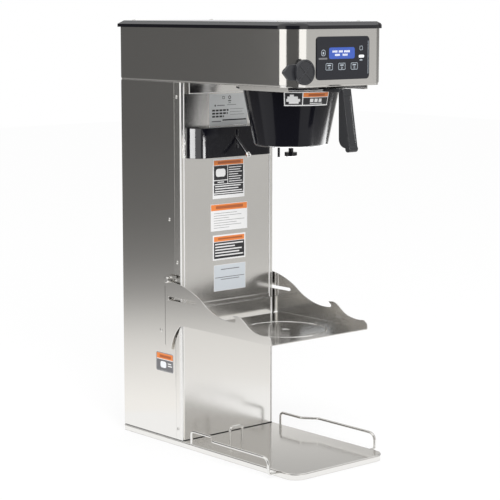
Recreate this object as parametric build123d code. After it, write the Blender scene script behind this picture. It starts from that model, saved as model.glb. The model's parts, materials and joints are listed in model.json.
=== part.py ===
from build123d import *
import math
import os

# Commercial iced tea brewer with a flip tray. Millimetres, +Z up, the front faces -Y.
# The origin is the middle of the base's footprint, on the surface that the feet stand on.

# ---- Driving dimensions ----------------------------------------------------------------------
body_width = 272.0        # trunk, head and base share it
base_depth = 587.5
base_height = 13.7
base_corner = 31.0
base_sheet = 1.5
base_seam_drop = 2.3      # the dark seam under the base's top sheet
base_seam_gap = 0.8
base_seam_depth = 0.5
foot_step = 1.5           # how far the rubber feet lift the base's skirt
foot_radius = 11.0
foot_inset = 42.0

trunk_depth = 214.0
head_clearance = 803.0    # base top to the underside of the head
sheet = 1.2
cover_return = 21.4       # the front covers wrap this far round the trunk's sides
cover_lap = 10.0          # the housing's flange behind those returns
lap_weld = 6.0            # how far that flange is welded on behind the seam
cover_border = 9.0        # plain strip beside the upper cover's sunk panel
cover_sink = 1.0
cover_corner = 2.0
lower_cover_corner = 9.0
cover_split = 300.0       # height of the seam between the covers, above the base's top
cover_gap = 0.8

head_depth = 577.0
head_height = 118.5
head_corner = 42.5
trim_height = 14.5
trim_band = 7.0           # the trim's upright band; a chamfer is above it
trim_overhang = 5.0
trim_width = 15.0
trim_chamfer = 5.0
lid_ledge_width = 4.0
lid_ledge_depth = 3.0
lid_clearance = 0.4
lid_screw_radius = 4.0
lid_screw_height = 2.0
lid_screw_inset = 22.0
lid_screw_front_inset = 66.0
tank_hole_clearance = 4.0  # head's floor round the tank
port_clearance = 0.3

# Control panel on the head's front
panel_width = 151.0
panel_height = 88.7
panel_centre_x = 4.0
panel_centre_rise = 58.7  # above the head's underside
panel_thickness = 2.0
panel_corner = 8.5
panel_window_margin = 9.0
display_width = 74.0
display_height = 23.6
display_corner = 4.5
display_offset_x = -4.0   # from the panel's centre
display_offset_z = 10.0
display_recess = 0.3
button_width = 20.4
button_height = 14.6
button_pitch = 36.0
button_offset_x = -4.8
button_offset_z = -17.4
button_clearance = 0.4
button_proud = 0.4
button_travel = 0.5
button_end_gap = 0.1
button_seat_gap = 0.1
button_flange = 1.0
button_corner = 2.8
board_thickness = 1.6
board_lap = 4.0           # board's edge past the window, on the hood's inner face

# Rotary valve at the head's front left corner
valve_x = -117.0
valve_rise = 32.3         # above the head's underside
valve_base_radius = 18.0
valve_base_proud = 3.0
valve_stem_radius = 4.0
valve_running_clearance = 0.05
valve_gap = 0.3
pointer_thickness = 7.5
pointer_hub_radius = 21.0
pointer_half_height = 16.0
pointer_shoulder = 38.0
cap_radius = 26.0
cap_thickness = 8.0
cap_recess = 2.2
cap_rim = 4.0
cap_rib_width = 3.6
cap_round = 2.0
pointer_nose_round = 3.0
valve_body_size = 17.0
valve_body_left = 6.0
valve_body_gap = 2.0      # behind the head's rounded corner
valve_stem_reach = 8.0    # stem's end behind that corner

# Brew funnel under the head
funnel_setback = 153.5    # funnel's axis behind the head's front
funnel_top_radius = 104.0
funnel_bottom_radius = 79.0
funnel_bottom_drop = 131.0  # below the head's underside
funnel_wall = 3.0
funnel_foot_round = 6.0
flange_rim = 14.0          # flange's round edge outside the funnel
flange_side = 9.5          # flange's straight sides outside the funnel
flange_thickness = 4.0
flange_clearance = 0.3
rail_drop = 10.5
rail_web = 1.5
rail_lip = 9.5
rail_lip_thickness = 1.5
rail_front = 38.5         # rail's front end behind the head's front
rail_length = 152.0
rail_side_clearance = 1.0
spout_neck_radius = 5.0
spout_tip_radius = 13.5
spout_tip_height = 9.0
spout_drop = 24.0
spout_bore = 2.4
spout_leg_radius = 2.6
spout_leg_offset = 26.0
spout_leg_turn = 139.0
spout_leg_extra = 2.0
spout_stub_radius = 4.8
spout_round = 2.0
basket_clearance = 4.0
basket_wall = 2.0
basket_height = 86.0
basket_rim_clearance = 0.3
basket_foot_inset = 8.0
basket_foot_width = 4.0
basket_hole_radius = 1.5
basket_hole_pitch = 16.0    # between the circles of holes
basket_circle_count = 3
basket_first_count = 6     # holes in the innermost circle, and as many more in each next one
spray_radius = 34.0
spray_thickness = 2.6
spray_neck_radius = 9.0
spray_neck_height = 3.0
spray_hole_radius = 1.8
spray_hole_circle = 22.0
spray_hole_count = 8

# Funnel handle
grip_width = 24.0
grip_back_reach = 158.0   # grip's rear face ahead of the funnel's axis
grip_wall = 4.0
# The grip's side profile, as distances ahead of its rear face and below its top.
grip_rear_foot = (1.5, 104.0)
grip_heel_middle = (7.5, 116.5)
grip_heel_end = (21.0, 121.5)
grip_toe_middle = (27.5, 130.0)
grip_toe_end = (33.0, 118.0)
grip_top_depth = 12.5
grip_groove_depth = 1.5
grip_groove_top = 14.0
grip_groove_foot = 112.0
grip_pocket_foot = 98.0
arm_thickness = 7.0
arm_width = 28.0
arm_under_flange = 6.0
channel_drop = 25.0       # cross channel below the head's underside
channel_reach = 8.0       # and ahead of the trunk

# Dilution shroud and nozzle on the trunk
shroud_width = 233.0
shroud_reach = 30.0
shroud_corner = 29.0
shroud_low = 635.8        # above the base's top
shroud_high = 702.2
shroud_wall = 2.5
nozzle_radius = 3.5
nozzle_bore = 2.4
nozzle_inlet_z = 690.0    # heights above the base's top
nozzle_bend_reach = 17.0  # ahead of the cover's sunk face
nozzle_tip_reach = 72.0
nozzle_tip_z = 641.0
nozzle_bend_radius = 9.0
nozzle_clearance = 0.5
nozzle_slot_half = 5.0
nozzle_slot_low = 655.0
nozzle_slot_head = 6.0    # above the nozzle's inlet
dilution_pipe_inset = 8.0 # ahead of the seam between cover and housing
tip_radius = 5.5
tip_length = 8.0
tip_lip = 1.5

# Flip tray
tray_sheet = 2.0
tray_side_gap = 4.0       # between the trunk's side and the tray's plate
pin_setback = 38.6        # guide pin behind the trunk's front
pin_height = 322.0        # above the base's top
pin_radius = 3.15
pin_running_clearance = 0.05
pin_head_radius = 5.0
pin_head_thickness = 2.0
pin_end_gap = 0.6
bushing_radius = 7.0
bushing_length = 14.0
slot_half_height = 3.7
slot_rear = 7.0
tray_drop = 92.0          # how far the raised tray sinks along its slots
tray_swing = 90.0
stud_rise = 42.0          # hook stud above the guide pin
stud_radius = 3.0
stud_head_radius = 7.0
stud_head_thickness = 6.0
stud_spacer_radius = 5.0
stud_clearance = 0.7
stud_head_gap = 1.5       # outside the tray's plate
stud_spacer_gap = 1.0     # inside the tray's plate
stud_round = 1.5
ear_forward = 27.0
ear_height = 7.0
ear_chamfer = 8.0
ear_rear_rise = 44.0
tray_rear = 11.5          # plate behind the pin
tray_front = 344.5        # plate ahead of the pin
tray_front_drop = 52.0    # where the plate's front edge turns down
# The side plate's upper edge, as distances ahead of the guide pin and above it.
tray_sweep = [(150.5, -12.0), (186.5, -22.2), (229.0, -22.6)]
tray_notch = [(229.0, -22.6), (231.0, -18.0), (221.5, -10.2), (236.0, -9.2)]
tray_nose = [(236.0, -9.2), (248.5, -13.0), (273.0, -29.5), (295.0, -37.0), (317.0, -39.0), (331.0, -38.0)]
tray_nose_turn = (340.5, -42.0)
# The plate's tail under the floor.
tray_tail_start = 42.0
tray_tail_middle = (19.0, -84.0)
tray_tail_end = (7.0, -118.0)
tray_tail_tip = 3.0       # behind the pin
tray_tail_rise = 9.0
tray_floor_drop = 57.5    # floor's underside below the pin
tray_floor_rear = 62.5    # floor's rear edge ahead of the pin
ring_reach = 230.5        # ring's centre ahead of the pin
ring_radius = 91.0
ring_bead = 1.6
ring_bead_sink = 0.6
ring_bead_floor = 0.2     # bead stops this far above the floor's underside
dimple_radius = 12.5
dimple_depth = 2.4

# Wire guides on the base
wire_radius = 3.1
guide_rise = 29.0
guide_inner_x = 134.0
guide_bulge = 24.0
guide_rear_gap = 31.4     # rear foot ahead of the trunk
guide_rear_run = 70.0
guide_jog_run = 32.0
guide_front_inset = 57.9  # front foot behind the base's front
guide_foot_sink = 6.0     # inward foot below the base's top
guide_rear_bend = 9.0
guide_jog_bend = 14.0
guide_front_bend = 16.0
guide_foot_bend = 6.0
stop_x = -29.0
stop_width = 36.0
stop_gap = 61.4
stop_rise = 29.0
stop_bend = 9.0

# Labels, all plain
label_thickness = 0.3
data_plate_box = (-52.4, 58.6, 703.0, 774.5)
front_label_boxes = [
    (-43.5, 50.0, 540.0, 629.5),
    (-49.5, 58.5, 467.0, 527.7),
    (-44.0, 53.0, 400.5, 457.6),
    (-41.0, 53.0, 330.0, 389.5),
]
side_label_box = (29.7, 91.7, 149.8, 193.0)
funnel_label_height = 30.0
funnel_label_drop = 3.0   # below the flange
funnel_label_angle = 59.0
funnel_label_turn = -21.5
funnel_label_gap = 0.1

# Screws
screw_head_radius = 4.0
screw_head_height = 2.2
cover_screw_heights = [25.0, 404.6, 771.1]
cover_screw_setback = 14.0
side_screw_places = [(40.8, 498.4), (73.0, 243.8)]
side_screw_radius = 2.6

# Inside
tank_radius = 85.0
tank_wall = 1.5
tank_floor = 490.0
tank_top = 800.0
tank_flange = 9.0
tank_setback = 108.0      # tank's axis behind the trunk's front
gasket_thickness = 2.0
tank_lid_thickness = 2.0
shelf_thickness = 1.5
shelf_flange = 18.0
shelf_gap = 1.0
element_radius = 4.0
element_half = 40.0
element_depth = 250.0
element_hub_radius = 12.0
element_hub_height = 10.0
element_pin_height = 8.0
element_bend = 32.0
probe_radius = 2.5
probe_cap_radius = 6.0
probe_cap_height = 14.0
probe_offset = 45.0
probe_depths = (60.0, 160.0)
thermostat_radius = 9.0
thermostat_height = 12.0
thermostat_x = 52.0
thermostat_back = 42.0
pipe_radius = 5.0
pipe_bore = 3.5
pipe_bend = 14.0
pipe_offset = 30.0        # pipes this far left and right of the tank's axis
pipe_hole_clearance = 1.0
pipe_seat = 6.0           # brew pipe's end inside the tank's lid
brew_port_front = 50.0    # ahead of the tank's axis
brew_valve_reach = 40.0   # ahead of the trunk
spray_pipe_turn = 40.0    # where the brew pipe turns in behind the spray head
spray_pipe_bend = 11.0
valve_block = 30.0
coil_radius = 14.0
coil_height = 32.0
dilution_x = 100.0
dilution_valve_drop = 70.0
dilution_valve_back = 8.0
fill_pipe_drop = 40.0     # fill pipe's run below the shelf
drain_height = 120.0      # above the base's top
drain_reach = 30.0        # drain's end behind the trunk's front
drain_plug_length = 12.0
drain_plug_radius = 9.0
board_height = 150.0
board_depth = 110.0
board_setback = 50.0
board_rise = 170.0
standoff_length = 12.0
standoff_radius = 3.0
standoff_inset = 8.0
fitting_radius = 5.55
fitting_length = 22.0
fitting_collar_radius = 9.0
fitting_collar_length = 3.0
fitting_bore = 3.3
fitting_floor = 0.5
fitting_x = -80.0
fitting_z = 80.0
gland_radius = 12.0
gland_length = 12.0
gland_neck_radius = 7.2
gland_bore = 4.2
gland_x = 80.0
gland_z = 60.0

# ---- Places worked out from them --------------------------------------------------------------
half_width = body_width / 2
base_top = foot_step + base_height
back_y = base_depth / 2
base_front_y = -base_depth / 2
trunk_front_y = back_y - trunk_depth
head_front_y = back_y - head_depth
head_bottom = base_top + head_clearance
head_top = head_bottom + head_height
seam_y = trunk_front_y + cover_return
panel_face_y = trunk_front_y + cover_sink
funnel_y = head_front_y + funnel_setback
pin_y = trunk_front_y + pin_setback
pin_z = base_top + pin_height
plate_inner_x = half_width + tray_side_gap
plate_outer_x = plate_inner_x + tray_sheet
tank_y = trunk_front_y + tank_setback
valve_z = head_bottom + valve_rise
flange_radius = funnel_top_radius + flange_rim
flange_half_width = funnel_top_radius + flange_side
flange_low = head_bottom - rail_drop + rail_lip_thickness + flange_clearance
flange_high = flange_low + flange_thickness
funnel_low = head_bottom - funnel_bottom_drop
rail_x = flange_half_width + rail_side_clearance
shelf_z = base_top + tank_floor - shelf_thickness

parts = {}


# ---- Helpers ----------------------------------------------------------------------------------
def block(x0, x1, y0, y1, z0, z1):
    """A box between two opposite corners."""
    centre = Pos((x0 + x1) / 2, (y0 + y1) / 2, (z0 + z1) / 2)
    return centre * Box(x1 - x0, y1 - y0, z1 - z0)


def rod_x(radius, x0, x1, y, z):
    return Pos((x0 + x1) / 2, y, z) * Rot(0, 90, 0) * Cylinder(radius, abs(x1 - x0))


def rod_y(radius, x, y0, y1, z):
    return Pos(x, (y0 + y1) / 2, z) * Rot(90, 0, 0) * Cylinder(radius, abs(y1 - y0))


def rod_z(radius, x, y, z0, z1):
    return Pos(x, y, (z0 + z1) / 2) * Cylinder(radius, abs(z1 - z0))


def ring_z(outer, inner, x, y, z0, z1):
    return rod_z(outer, x, y, z0, z1) - rod_z(inner, x, y, z0 - 1, z1 + 1)


def footprint(depth, front_radius, grow=0.0):
    """Outline with a square back at the machine's back and two rounded front corners."""
    x = half_width + grow
    front = back_y - depth - grow
    back = back_y + grow
    r = front_radius + grow
    k = r * (1 - math.sqrt(0.5))
    with BuildLine() as line:
        Polyline((-x, front + r), (-x, back), (x, back), (x, front + r))
        ThreePointArc((x, front + r), (x - k, front + k), (x - r, front))
        Line((x - r, front), (-x + r, front))
        ThreePointArc((-x + r, front), (-x + k, front + k), (-x, front + r))
    return make_face(line.line)


def slab(face, z0, z1):
    return Pos(0, 0, z0) * extrude(face, amount=z1 - z0)


def rounded_path(points, radii):
    """Straight runs joined by tangent arcs, one radius for each inner corner."""
    corners = [Vector(*p) for p in points]
    edges = []
    start = corners[0]
    for before, corner, after, radius in zip(corners, corners[1:], corners[2:], radii):
        a = (before - corner).normalized()
        b = (after - corner).normalized()
        half = math.radians(a.get_angle(b)) / 2
        reach = radius / math.tan(half)
        middle = corner + (a + b).normalized() * (radius / math.sin(half) - radius)
        arc_start = corner + a * reach
        arc_end = corner + b * reach
        edges.append(Line(start, arc_start))
        edges.append(ThreePointArc(arc_start, middle, arc_end))
        start = arc_end
    edges.append(Line(start, corners[-1]))
    return Wire([edge.edge() for edge in edges])


def pipe(points, radii, outer, inner=0.0):
    """A round bar, or a tube where inner is given, along a rounded path."""
    path = rounded_path(points, radii)
    plane = Plane(origin=path @ 0, z_dir=path % 0)
    section = plane * Circle(outer)
    if inner:
        section = section - plane * Circle(inner)
    return sweep(section, path=path)


# ---- Base -------------------------------------------------------------------------------------
def make_base():
    outline = footprint(base_depth, base_corner)
    pan = slab(outline, foot_step, base_top)
    inside = footprint(base_depth, base_corner, grow=-base_sheet)
    pan -= slab(inside, foot_step - 1, base_top - base_sheet)
    seam_high = base_top - base_seam_drop + base_seam_gap
    seam = slab(footprint(base_depth, base_corner, grow=1), base_top - base_seam_drop, seam_high)
    seam -= slab(footprint(base_depth, base_corner, grow=-base_seam_depth), 0, base_top)
    parts["base_pan"] = pan - seam
    feet = []
    for x in (-half_width + foot_inset, half_width - foot_inset):
        for y in (base_front_y + foot_inset, back_y - foot_inset):
            feet.append(rod_z(foot_radius, x, y, 0, base_top - base_sheet))
    parts["rubber_feet"] = feet


def make_wires():
    rear = trunk_front_y - guide_rear_gap
    jog_start = rear - guide_rear_run
    jog_end = jog_start - guide_jog_run
    front = base_front_y + guide_front_inset
    top = base_top + guide_rise
    low = base_top - guide_foot_sink
    for name, side in (("left_wire_guide", -1), ("right_wire_guide", 1)):
        near = side * guide_inner_x
        far = side * (guide_inner_x + guide_bulge)
        points = [
            (near, rear, base_top), (near, rear, top), (near, jog_start, top),
            (far, jog_end, top), (far, front, top), (far, front, low), (side * half_width, front, low),
        ]
        radii = [guide_rear_bend, guide_jog_bend, guide_jog_bend, guide_front_bend, guide_foot_bend]
        parts[name] = pipe(points, radii, wire_radius)
    left = stop_x - stop_width / 2
    right = stop_x + stop_width / 2
    y = trunk_front_y - stop_gap
    high = base_top + stop_rise
    points = [(left, y, base_top), (left, y, high), (right, y, high), (right, y, base_top)]
    parts["rear_wire_stop"] = pipe(points, [stop_bend, stop_bend], wire_radius)


# ---- Trunk ------------------------------------------------------------------------------------
def nozzle_hole():
    return rod_y(nozzle_radius + nozzle_clearance, 0, trunk_front_y - 1, trunk_front_y + cover_return,
                 base_top + nozzle_inlet_z)


def make_trunk():
    x = half_width
    low = base_top
    high = head_bottom
    housing = block(-x, x, seam_y, back_y, low, high)
    housing -= block(-x + sheet, x - sheet, seam_y - 1, back_y - sheet, low - 1, high + 1)
    for side in (-1, 1):
        lap_edges = sorted((side * (x - sheet), side * (x - 2 * sheet)))
        housing += block(*lap_edges, seam_y - cover_lap, seam_y + lap_weld, low, high)
        housing -= rod_x(pin_radius + pin_running_clearance, side * (x - 2 * sheet), side * (x + 1),
                         pin_y, pin_z)
    behind = (back_y - 2 * sheet, back_y + 1)
    housing -= rod_y(fitting_radius + port_clearance, fitting_x, *behind, fitting_z)
    housing -= rod_y(gland_neck_radius, gland_x, *behind, gland_z)
    parts["trunk_housing"] = housing

    split = base_top + cover_split
    border = x - cover_border
    upper = block(-x, x, trunk_front_y, seam_y, split, high)
    upper = fillet(upper.edges().filter_by(Axis.Z).group_by(Axis.Y)[0], cover_corner)
    upper -= block(-border, border, trunk_front_y - 1, panel_face_y, split + cover_border, high + 1)
    upper -= block(-x + sheet, x - sheet, panel_face_y + sheet, seam_y + 1, split - 1, high + 1)
    parts["upper_front_cover"] = upper - nozzle_hole()

    lower_high = split - cover_gap
    lower = block(-x, x, trunk_front_y, seam_y, base_top, lower_high)
    lower = fillet(lower.edges().filter_by(Axis.Z).group_by(Axis.Y)[0], lower_cover_corner)
    hollow = block(-x + sheet, x - sheet, trunk_front_y + sheet, seam_y + lower_cover_corner,
                   base_top - 1, lower_high + 1)
    inner_corner = lower_cover_corner - sheet
    hollow = fillet(hollow.edges().filter_by(Axis.Z).group_by(Axis.Y)[0], inner_corner)
    parts["lower_front_cover"] = lower - hollow

    screws = []
    for side in (-1, 1):
        for height in cover_screw_heights:
            screws.append(rod_x(screw_head_radius, side * x, side * (x + screw_head_height),
                                trunk_front_y + cover_screw_setback, base_top + height))
        for setback, height in side_screw_places:
            screws.append(rod_x(side_screw_radius, side * x, side * (x + screw_head_height),
                                trunk_front_y + setback, base_top + height))
    parts["casing_screws"] = screws


def make_labels():
    x0, x1, z0, z1 = data_plate_box
    face = panel_face_y
    parts["data_plate"] = block(x0, x1, face - label_thickness, face, base_top + z0, base_top + z1)
    labels = []
    for x0, x1, z0, z1 in front_label_boxes:
        labels.append(block(x0, x1, face - label_thickness, face, base_top + z0, base_top + z1))
    parts["front_labels"] = labels
    y0, y1, z0, z1 = side_label_box
    parts["side_label"] = block(-half_width - label_thickness, -half_width, trunk_front_y + y0,
                                trunk_front_y + y1, base_top + z0, base_top + z1)


# ---- Head -------------------------------------------------------------------------------------
def make_head():
    outer = footprint(head_depth, head_corner)
    inner = footprint(head_depth, head_corner, grow=-sheet)
    hood = slab(outer, head_bottom, head_top) - slab(inner, head_bottom - 1, head_top + 1)
    hood -= block(-half_width + sheet, half_width - sheet, back_y - sheet - 1, back_y + 1,
                  head_bottom - 1, head_top + 1)
    window_x = panel_width / 2 - panel_window_margin
    window_z = panel_height / 2 - panel_window_margin
    panel_z = head_bottom + panel_centre_rise
    hood -= block(panel_centre_x - window_x, panel_centre_x + window_x, head_front_y - 1,
                  head_front_y + sheet + 1, panel_z - window_z, panel_z + window_z)
    hood -= rod_y(valve_stem_radius + valve_running_clearance, valve_x, head_front_y - 1,
                  head_front_y + head_corner, valve_z)
    parts["head_hood"] = hood
    parts["head_back_panel"] = block(-half_width + sheet, half_width - sheet, back_y - sheet, back_y,
                                     head_bottom + sheet, head_top)

    floor = slab(inner, head_bottom, head_bottom + sheet)
    reach = tank_radius + tank_flange + tank_hole_clearance
    floor -= rod_z(reach, 0, tank_y, head_bottom - 1, head_bottom + sheet + 1)
    floor -= rod_z(spray_neck_radius + port_clearance, 0, funnel_y, head_bottom - 1, head_bottom + sheet + 1)
    parts["head_floor"] = floor

    trim_top = head_top + trim_height
    ring = slab(footprint(head_depth, head_corner, grow=trim_overhang), head_top, trim_top)
    chamfer_height = trim_height - trim_band
    ring = chamfer(ring.edges().group_by(Axis.Z)[-1], chamfer_height, trim_chamfer)
    ring -= slab(footprint(head_depth, head_corner, grow=trim_overhang - trim_width),
                 head_top - 1, trim_top + 1)
    ledge = trim_overhang - trim_width + lid_ledge_width
    ring -= slab(footprint(head_depth, head_corner, grow=ledge), trim_top - lid_ledge_depth, trim_top + 1)
    parts["top_trim"] = ring
    lid = slab(footprint(head_depth, head_corner, grow=ledge - lid_clearance),
               trim_top - lid_ledge_depth, trim_top)
    pan = footprint(head_depth, head_corner, grow=ledge - lid_clearance - 2 * sheet)
    parts["top_lid"] = lid - slab(pan, trim_top - lid_ledge_depth - 1, trim_top - sheet)
    screws = []
    for x in (-half_width + lid_screw_inset, half_width - lid_screw_inset):
        for y in (head_front_y + lid_screw_front_inset, back_y - lid_screw_inset):
            screws.append(rod_z(lid_screw_radius, x, y, trim_top, trim_top + lid_screw_height))
    parts["lid_screws"] = screws


def make_panel():
    panel_z = head_bottom + panel_centre_rise
    x0 = panel_centre_x - panel_width / 2
    x1 = panel_centre_x + panel_width / 2
    z0 = panel_z - panel_height / 2
    z1 = panel_z + panel_height / 2
    front = head_front_y - panel_thickness
    overlay = block(x0, x1, front, head_front_y, z0, z1)
    overlay = fillet(overlay.edges().filter_by(Axis.Y), panel_corner)
    shown_x = panel_centre_x + display_offset_x
    shown_z = panel_z + display_offset_z
    window = block(shown_x - display_width / 2, shown_x + display_width / 2, front - 1, head_front_y + 1,
                   shown_z - display_height / 2, shown_z + display_height / 2)
    overlay -= fillet(window.edges().filter_by(Axis.Y), display_corner)
    board_face = head_front_y + sheet
    window = block(shown_x - display_width / 2, shown_x + display_width / 2, front + display_recess,
                   board_face, shown_z - display_height / 2, shown_z + display_height / 2)
    parts["display_window"] = fillet(window.edges().filter_by(Axis.Y), display_corner)
    flange_front = head_front_y + button_seat_gap
    flange_back = board_face - button_travel - button_end_gap
    middle = panel_centre_x + button_offset_x
    low = panel_z + button_offset_z - button_height / 2
    high = low + button_height
    for name, step in (("button_left", -1), ("button_middle", 0), ("button_right", 1)):
        x = middle + step * button_pitch
        left = x - button_width / 2
        right = x + button_width / 2
        c = button_clearance
        overlay -= block(left - c, right + c, front - 1, head_front_y + 1, low - c, high + c)
        key = block(left, right, front - button_proud, flange_front, low, high)
        key = fillet(key.edges().filter_by(Axis.Y), button_corner)
        f = button_flange
        key += block(left - f, right + f, flange_front, flange_back, low - f, high + f)
        parts[name] = key
    parts["control_overlay"] = overlay
    margin = panel_window_margin - board_lap
    board = block(x0 + margin, x1 - margin, board_face, board_face + board_thickness,
                  z0 + margin, z1 - margin)
    parts["switch_board"] = board


def make_valve():
    base_front = head_front_y - valve_base_proud
    boss = rod_y(valve_base_radius, valve_x, base_front, head_front_y + head_corner, valve_z)
    boss -= slab(footprint(head_depth, head_corner), head_bottom - 1, head_top + 1)
    stem_hole = rod_y(valve_stem_radius + valve_running_clearance, valve_x, base_front - 1,
                      head_front_y + head_corner + 1, valve_z)
    parts["valve_base"] = boss - stem_hole

    rear = base_front - valve_gap
    front = rear - pointer_thickness
    r = pointer_hub_radius
    h = pointer_half_height
    nose = pointer_shoulder + h
    meet = math.sqrt(r * r - h * h)
    with BuildLine() as line:
        Polyline((meet, h), (-pointer_shoulder, h), (-nose, 0), (-pointer_shoulder, -h), (meet, -h))
        ThreePointArc((meet, -h), (r, 0), (meet, h))
    face = make_face(Plane.XZ * line.line)
    knob = Pos(valve_x, rear, valve_z) * extrude(face, amount=pointer_thickness)
    knob += rod_y(r, valve_x, front, rear, valve_z)
    nose_edge = knob.edges().filter_by(Axis.Y).sort_by(Axis.X)[0]
    knob = fillet(nose_edge, pointer_nose_round)
    inner_end = head_front_y + head_corner + valve_stem_reach
    knob += rod_y(valve_stem_radius, valve_x, rear - 1, inner_end, valve_z)
    parts["pointer_knob"] = knob

    face_y = front - cap_thickness
    cap = rod_y(cap_radius, valve_x, face_y, front, valve_z)
    cap = fillet(cap.faces().sort_by(Axis.Y)[0].edges(), cap_round)
    dish = rod_y(cap_radius - cap_rim, valve_x, face_y - 1, face_y + cap_recess, valve_z)
    ribs = None
    for turn in (45, -45):
        rib = Pos(valve_x, face_y + cap_recess / 2, valve_z) * Rot(0, turn, 0) * Box(
            cap_rib_width, 2 * cap_recess, 2 * cap_radius)
        ribs = rib if ribs is None else ribs + rib
    parts["knob_cap"] = cap - (dish - ribs)

    size = valve_body_size
    body_front = head_front_y + head_corner + valve_body_gap
    body = block(valve_x - valve_body_left, valve_x + size, body_front, body_front + size,
                 head_bottom + sheet, valve_z + size)
    body -= rod_y(valve_stem_radius + valve_running_clearance, valve_x, body_front - 1,
                  body_front + size + 1, valve_z)
    parts["rotary_valve"] = body


# ---- Funnel -----------------------------------------------------------------------------------
def cone_z(bottom_radius, top_radius, z0, z1):
    return Pos(0, funnel_y, (z0 + z1) / 2) * Cone(bottom_radius, top_radius, z1 - z0)


def funnel_radius_at(z):
    share = (z - funnel_low) / (flange_low - funnel_low)
    return funnel_bottom_radius + share * (funnel_top_radius - funnel_bottom_radius)


def make_funnel():
    bowl = cone_z(funnel_bottom_radius, funnel_top_radius, funnel_low, flange_low)
    bowl = fillet(bowl.edges().group_by(Axis.Z)[0], funnel_foot_round)
    flange = rod_z(flange_radius, 0, funnel_y, flange_low, flange_high)
    flange &= block(-flange_half_width, flange_half_width, funnel_y - 2 * flange_radius,
                    funnel_y + 2 * flange_radius, flange_low - 1, flange_high + 1)
    bowl += flange
    inner_low = funnel_low + funnel_wall
    inside = [funnel_radius_at(z) - funnel_wall for z in (inner_low, flange_high + 1)]
    bowl -= cone_z(*inside, inner_low, flange_high + 1)
    spout_z = funnel_low - spout_drop
    bowl -= rod_z(spout_stub_radius, 0, funnel_y, funnel_low - 1, inner_low + 1)
    parts["funnel_bowl"] = bowl

    tip = rod_z(spout_tip_radius, 0, funnel_y, spout_z, spout_z + spout_tip_height)
    tip = fillet(tip.edges().group_by(Axis.Z)[0], spout_round)
    tip += rod_z(spout_neck_radius, 0, funnel_y, spout_z, funnel_low)
    tip += rod_z(spout_stub_radius, 0, funnel_y, funnel_low - 1, inner_low)
    tip -= rod_z(spout_bore, 0, funnel_y, spout_z - 1, inner_low + 1)
    legs = []
    turn = math.radians(spout_leg_turn)
    for side in (1, -1):
        x = side * spout_leg_offset * math.cos(turn)
        y = funnel_y + spout_leg_offset * math.sin(turn)
        legs.append(rod_z(spout_leg_radius, x, y, spout_z - spout_leg_extra, funnel_low))
    parts["drip_spout"] = [tip] + legs

    basket_low = inner_low + basket_clearance
    basket_high = basket_low + basket_height
    gap = funnel_wall + basket_clearance
    low_radius = funnel_radius_at(basket_low) - gap
    high_radius = funnel_radius_at(basket_high) - gap
    basket = cone_z(low_radius, high_radius, basket_low, basket_high)
    basket -= cone_z(low_radius - basket_wall, high_radius - basket_wall, basket_low + basket_wall,
                     basket_high + 1)
    for ring in range(1, basket_circle_count + 1):
        circle = ring * basket_hole_pitch
        count = ring * basket_first_count
        for step in range(count):
            turn = math.radians(360 * step / count)
            basket -= rod_z(basket_hole_radius, circle * math.cos(turn), funnel_y + circle * math.sin(turn),
                            basket_low - 1, basket_low + 2 * basket_wall)
    basket -= rod_z(basket_hole_radius, 0, funnel_y, basket_low - 1, basket_low + 2 * basket_wall)
    rim_radius = funnel_radius_at(basket_high) - funnel_wall - basket_rim_clearance
    rim = rod_z(rim_radius, 0, funnel_y, basket_high, basket_high + basket_wall)
    rim -= rod_z(high_radius - basket_wall, 0, funnel_y, basket_high - 1, basket_high + basket_wall + 1)
    foot = low_radius - basket_foot_inset
    seat = ring_z(foot, foot - basket_foot_width, 0, funnel_y, inner_low, basket_low)
    parts["tea_basket"] = basket + rim + seat

    label_high = flange_low - funnel_label_drop
    label_low = label_high - funnel_label_height
    inner = [funnel_radius_at(z) + funnel_label_gap for z in (label_low, label_high)]
    outer = [radius + label_thickness for radius in inner]
    shell = cone_z(*outer, label_low, label_high) - cone_z(*inner, label_low, label_high)
    reach = 2 * funnel_top_radius
    half = math.radians(funnel_label_angle / 2)
    with BuildLine() as line:
        Polyline((0, 0), (reach * math.sin(-half), -reach * math.cos(half)),
                 (reach * math.sin(half), -reach * math.cos(half)), (0, 0))
    wedge = Pos(0, funnel_y, label_low) * Rot(0, 0, funnel_label_turn) * extrude(
        make_face(line.line), amount=funnel_label_height)
    parts["funnel_label"] = shell & wedge


def grip_point(ahead, below):
    """A place on the grip's side profile, measured from the top of its rear face."""
    return (funnel_y - grip_back_reach - ahead, flange_high - below)


def grip_front(below):
    """How far ahead of its rear face the grip's front face is."""
    slope = (grip_toe_end[0] - grip_top_depth) / grip_toe_end[1]
    return grip_top_depth + slope * below


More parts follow.
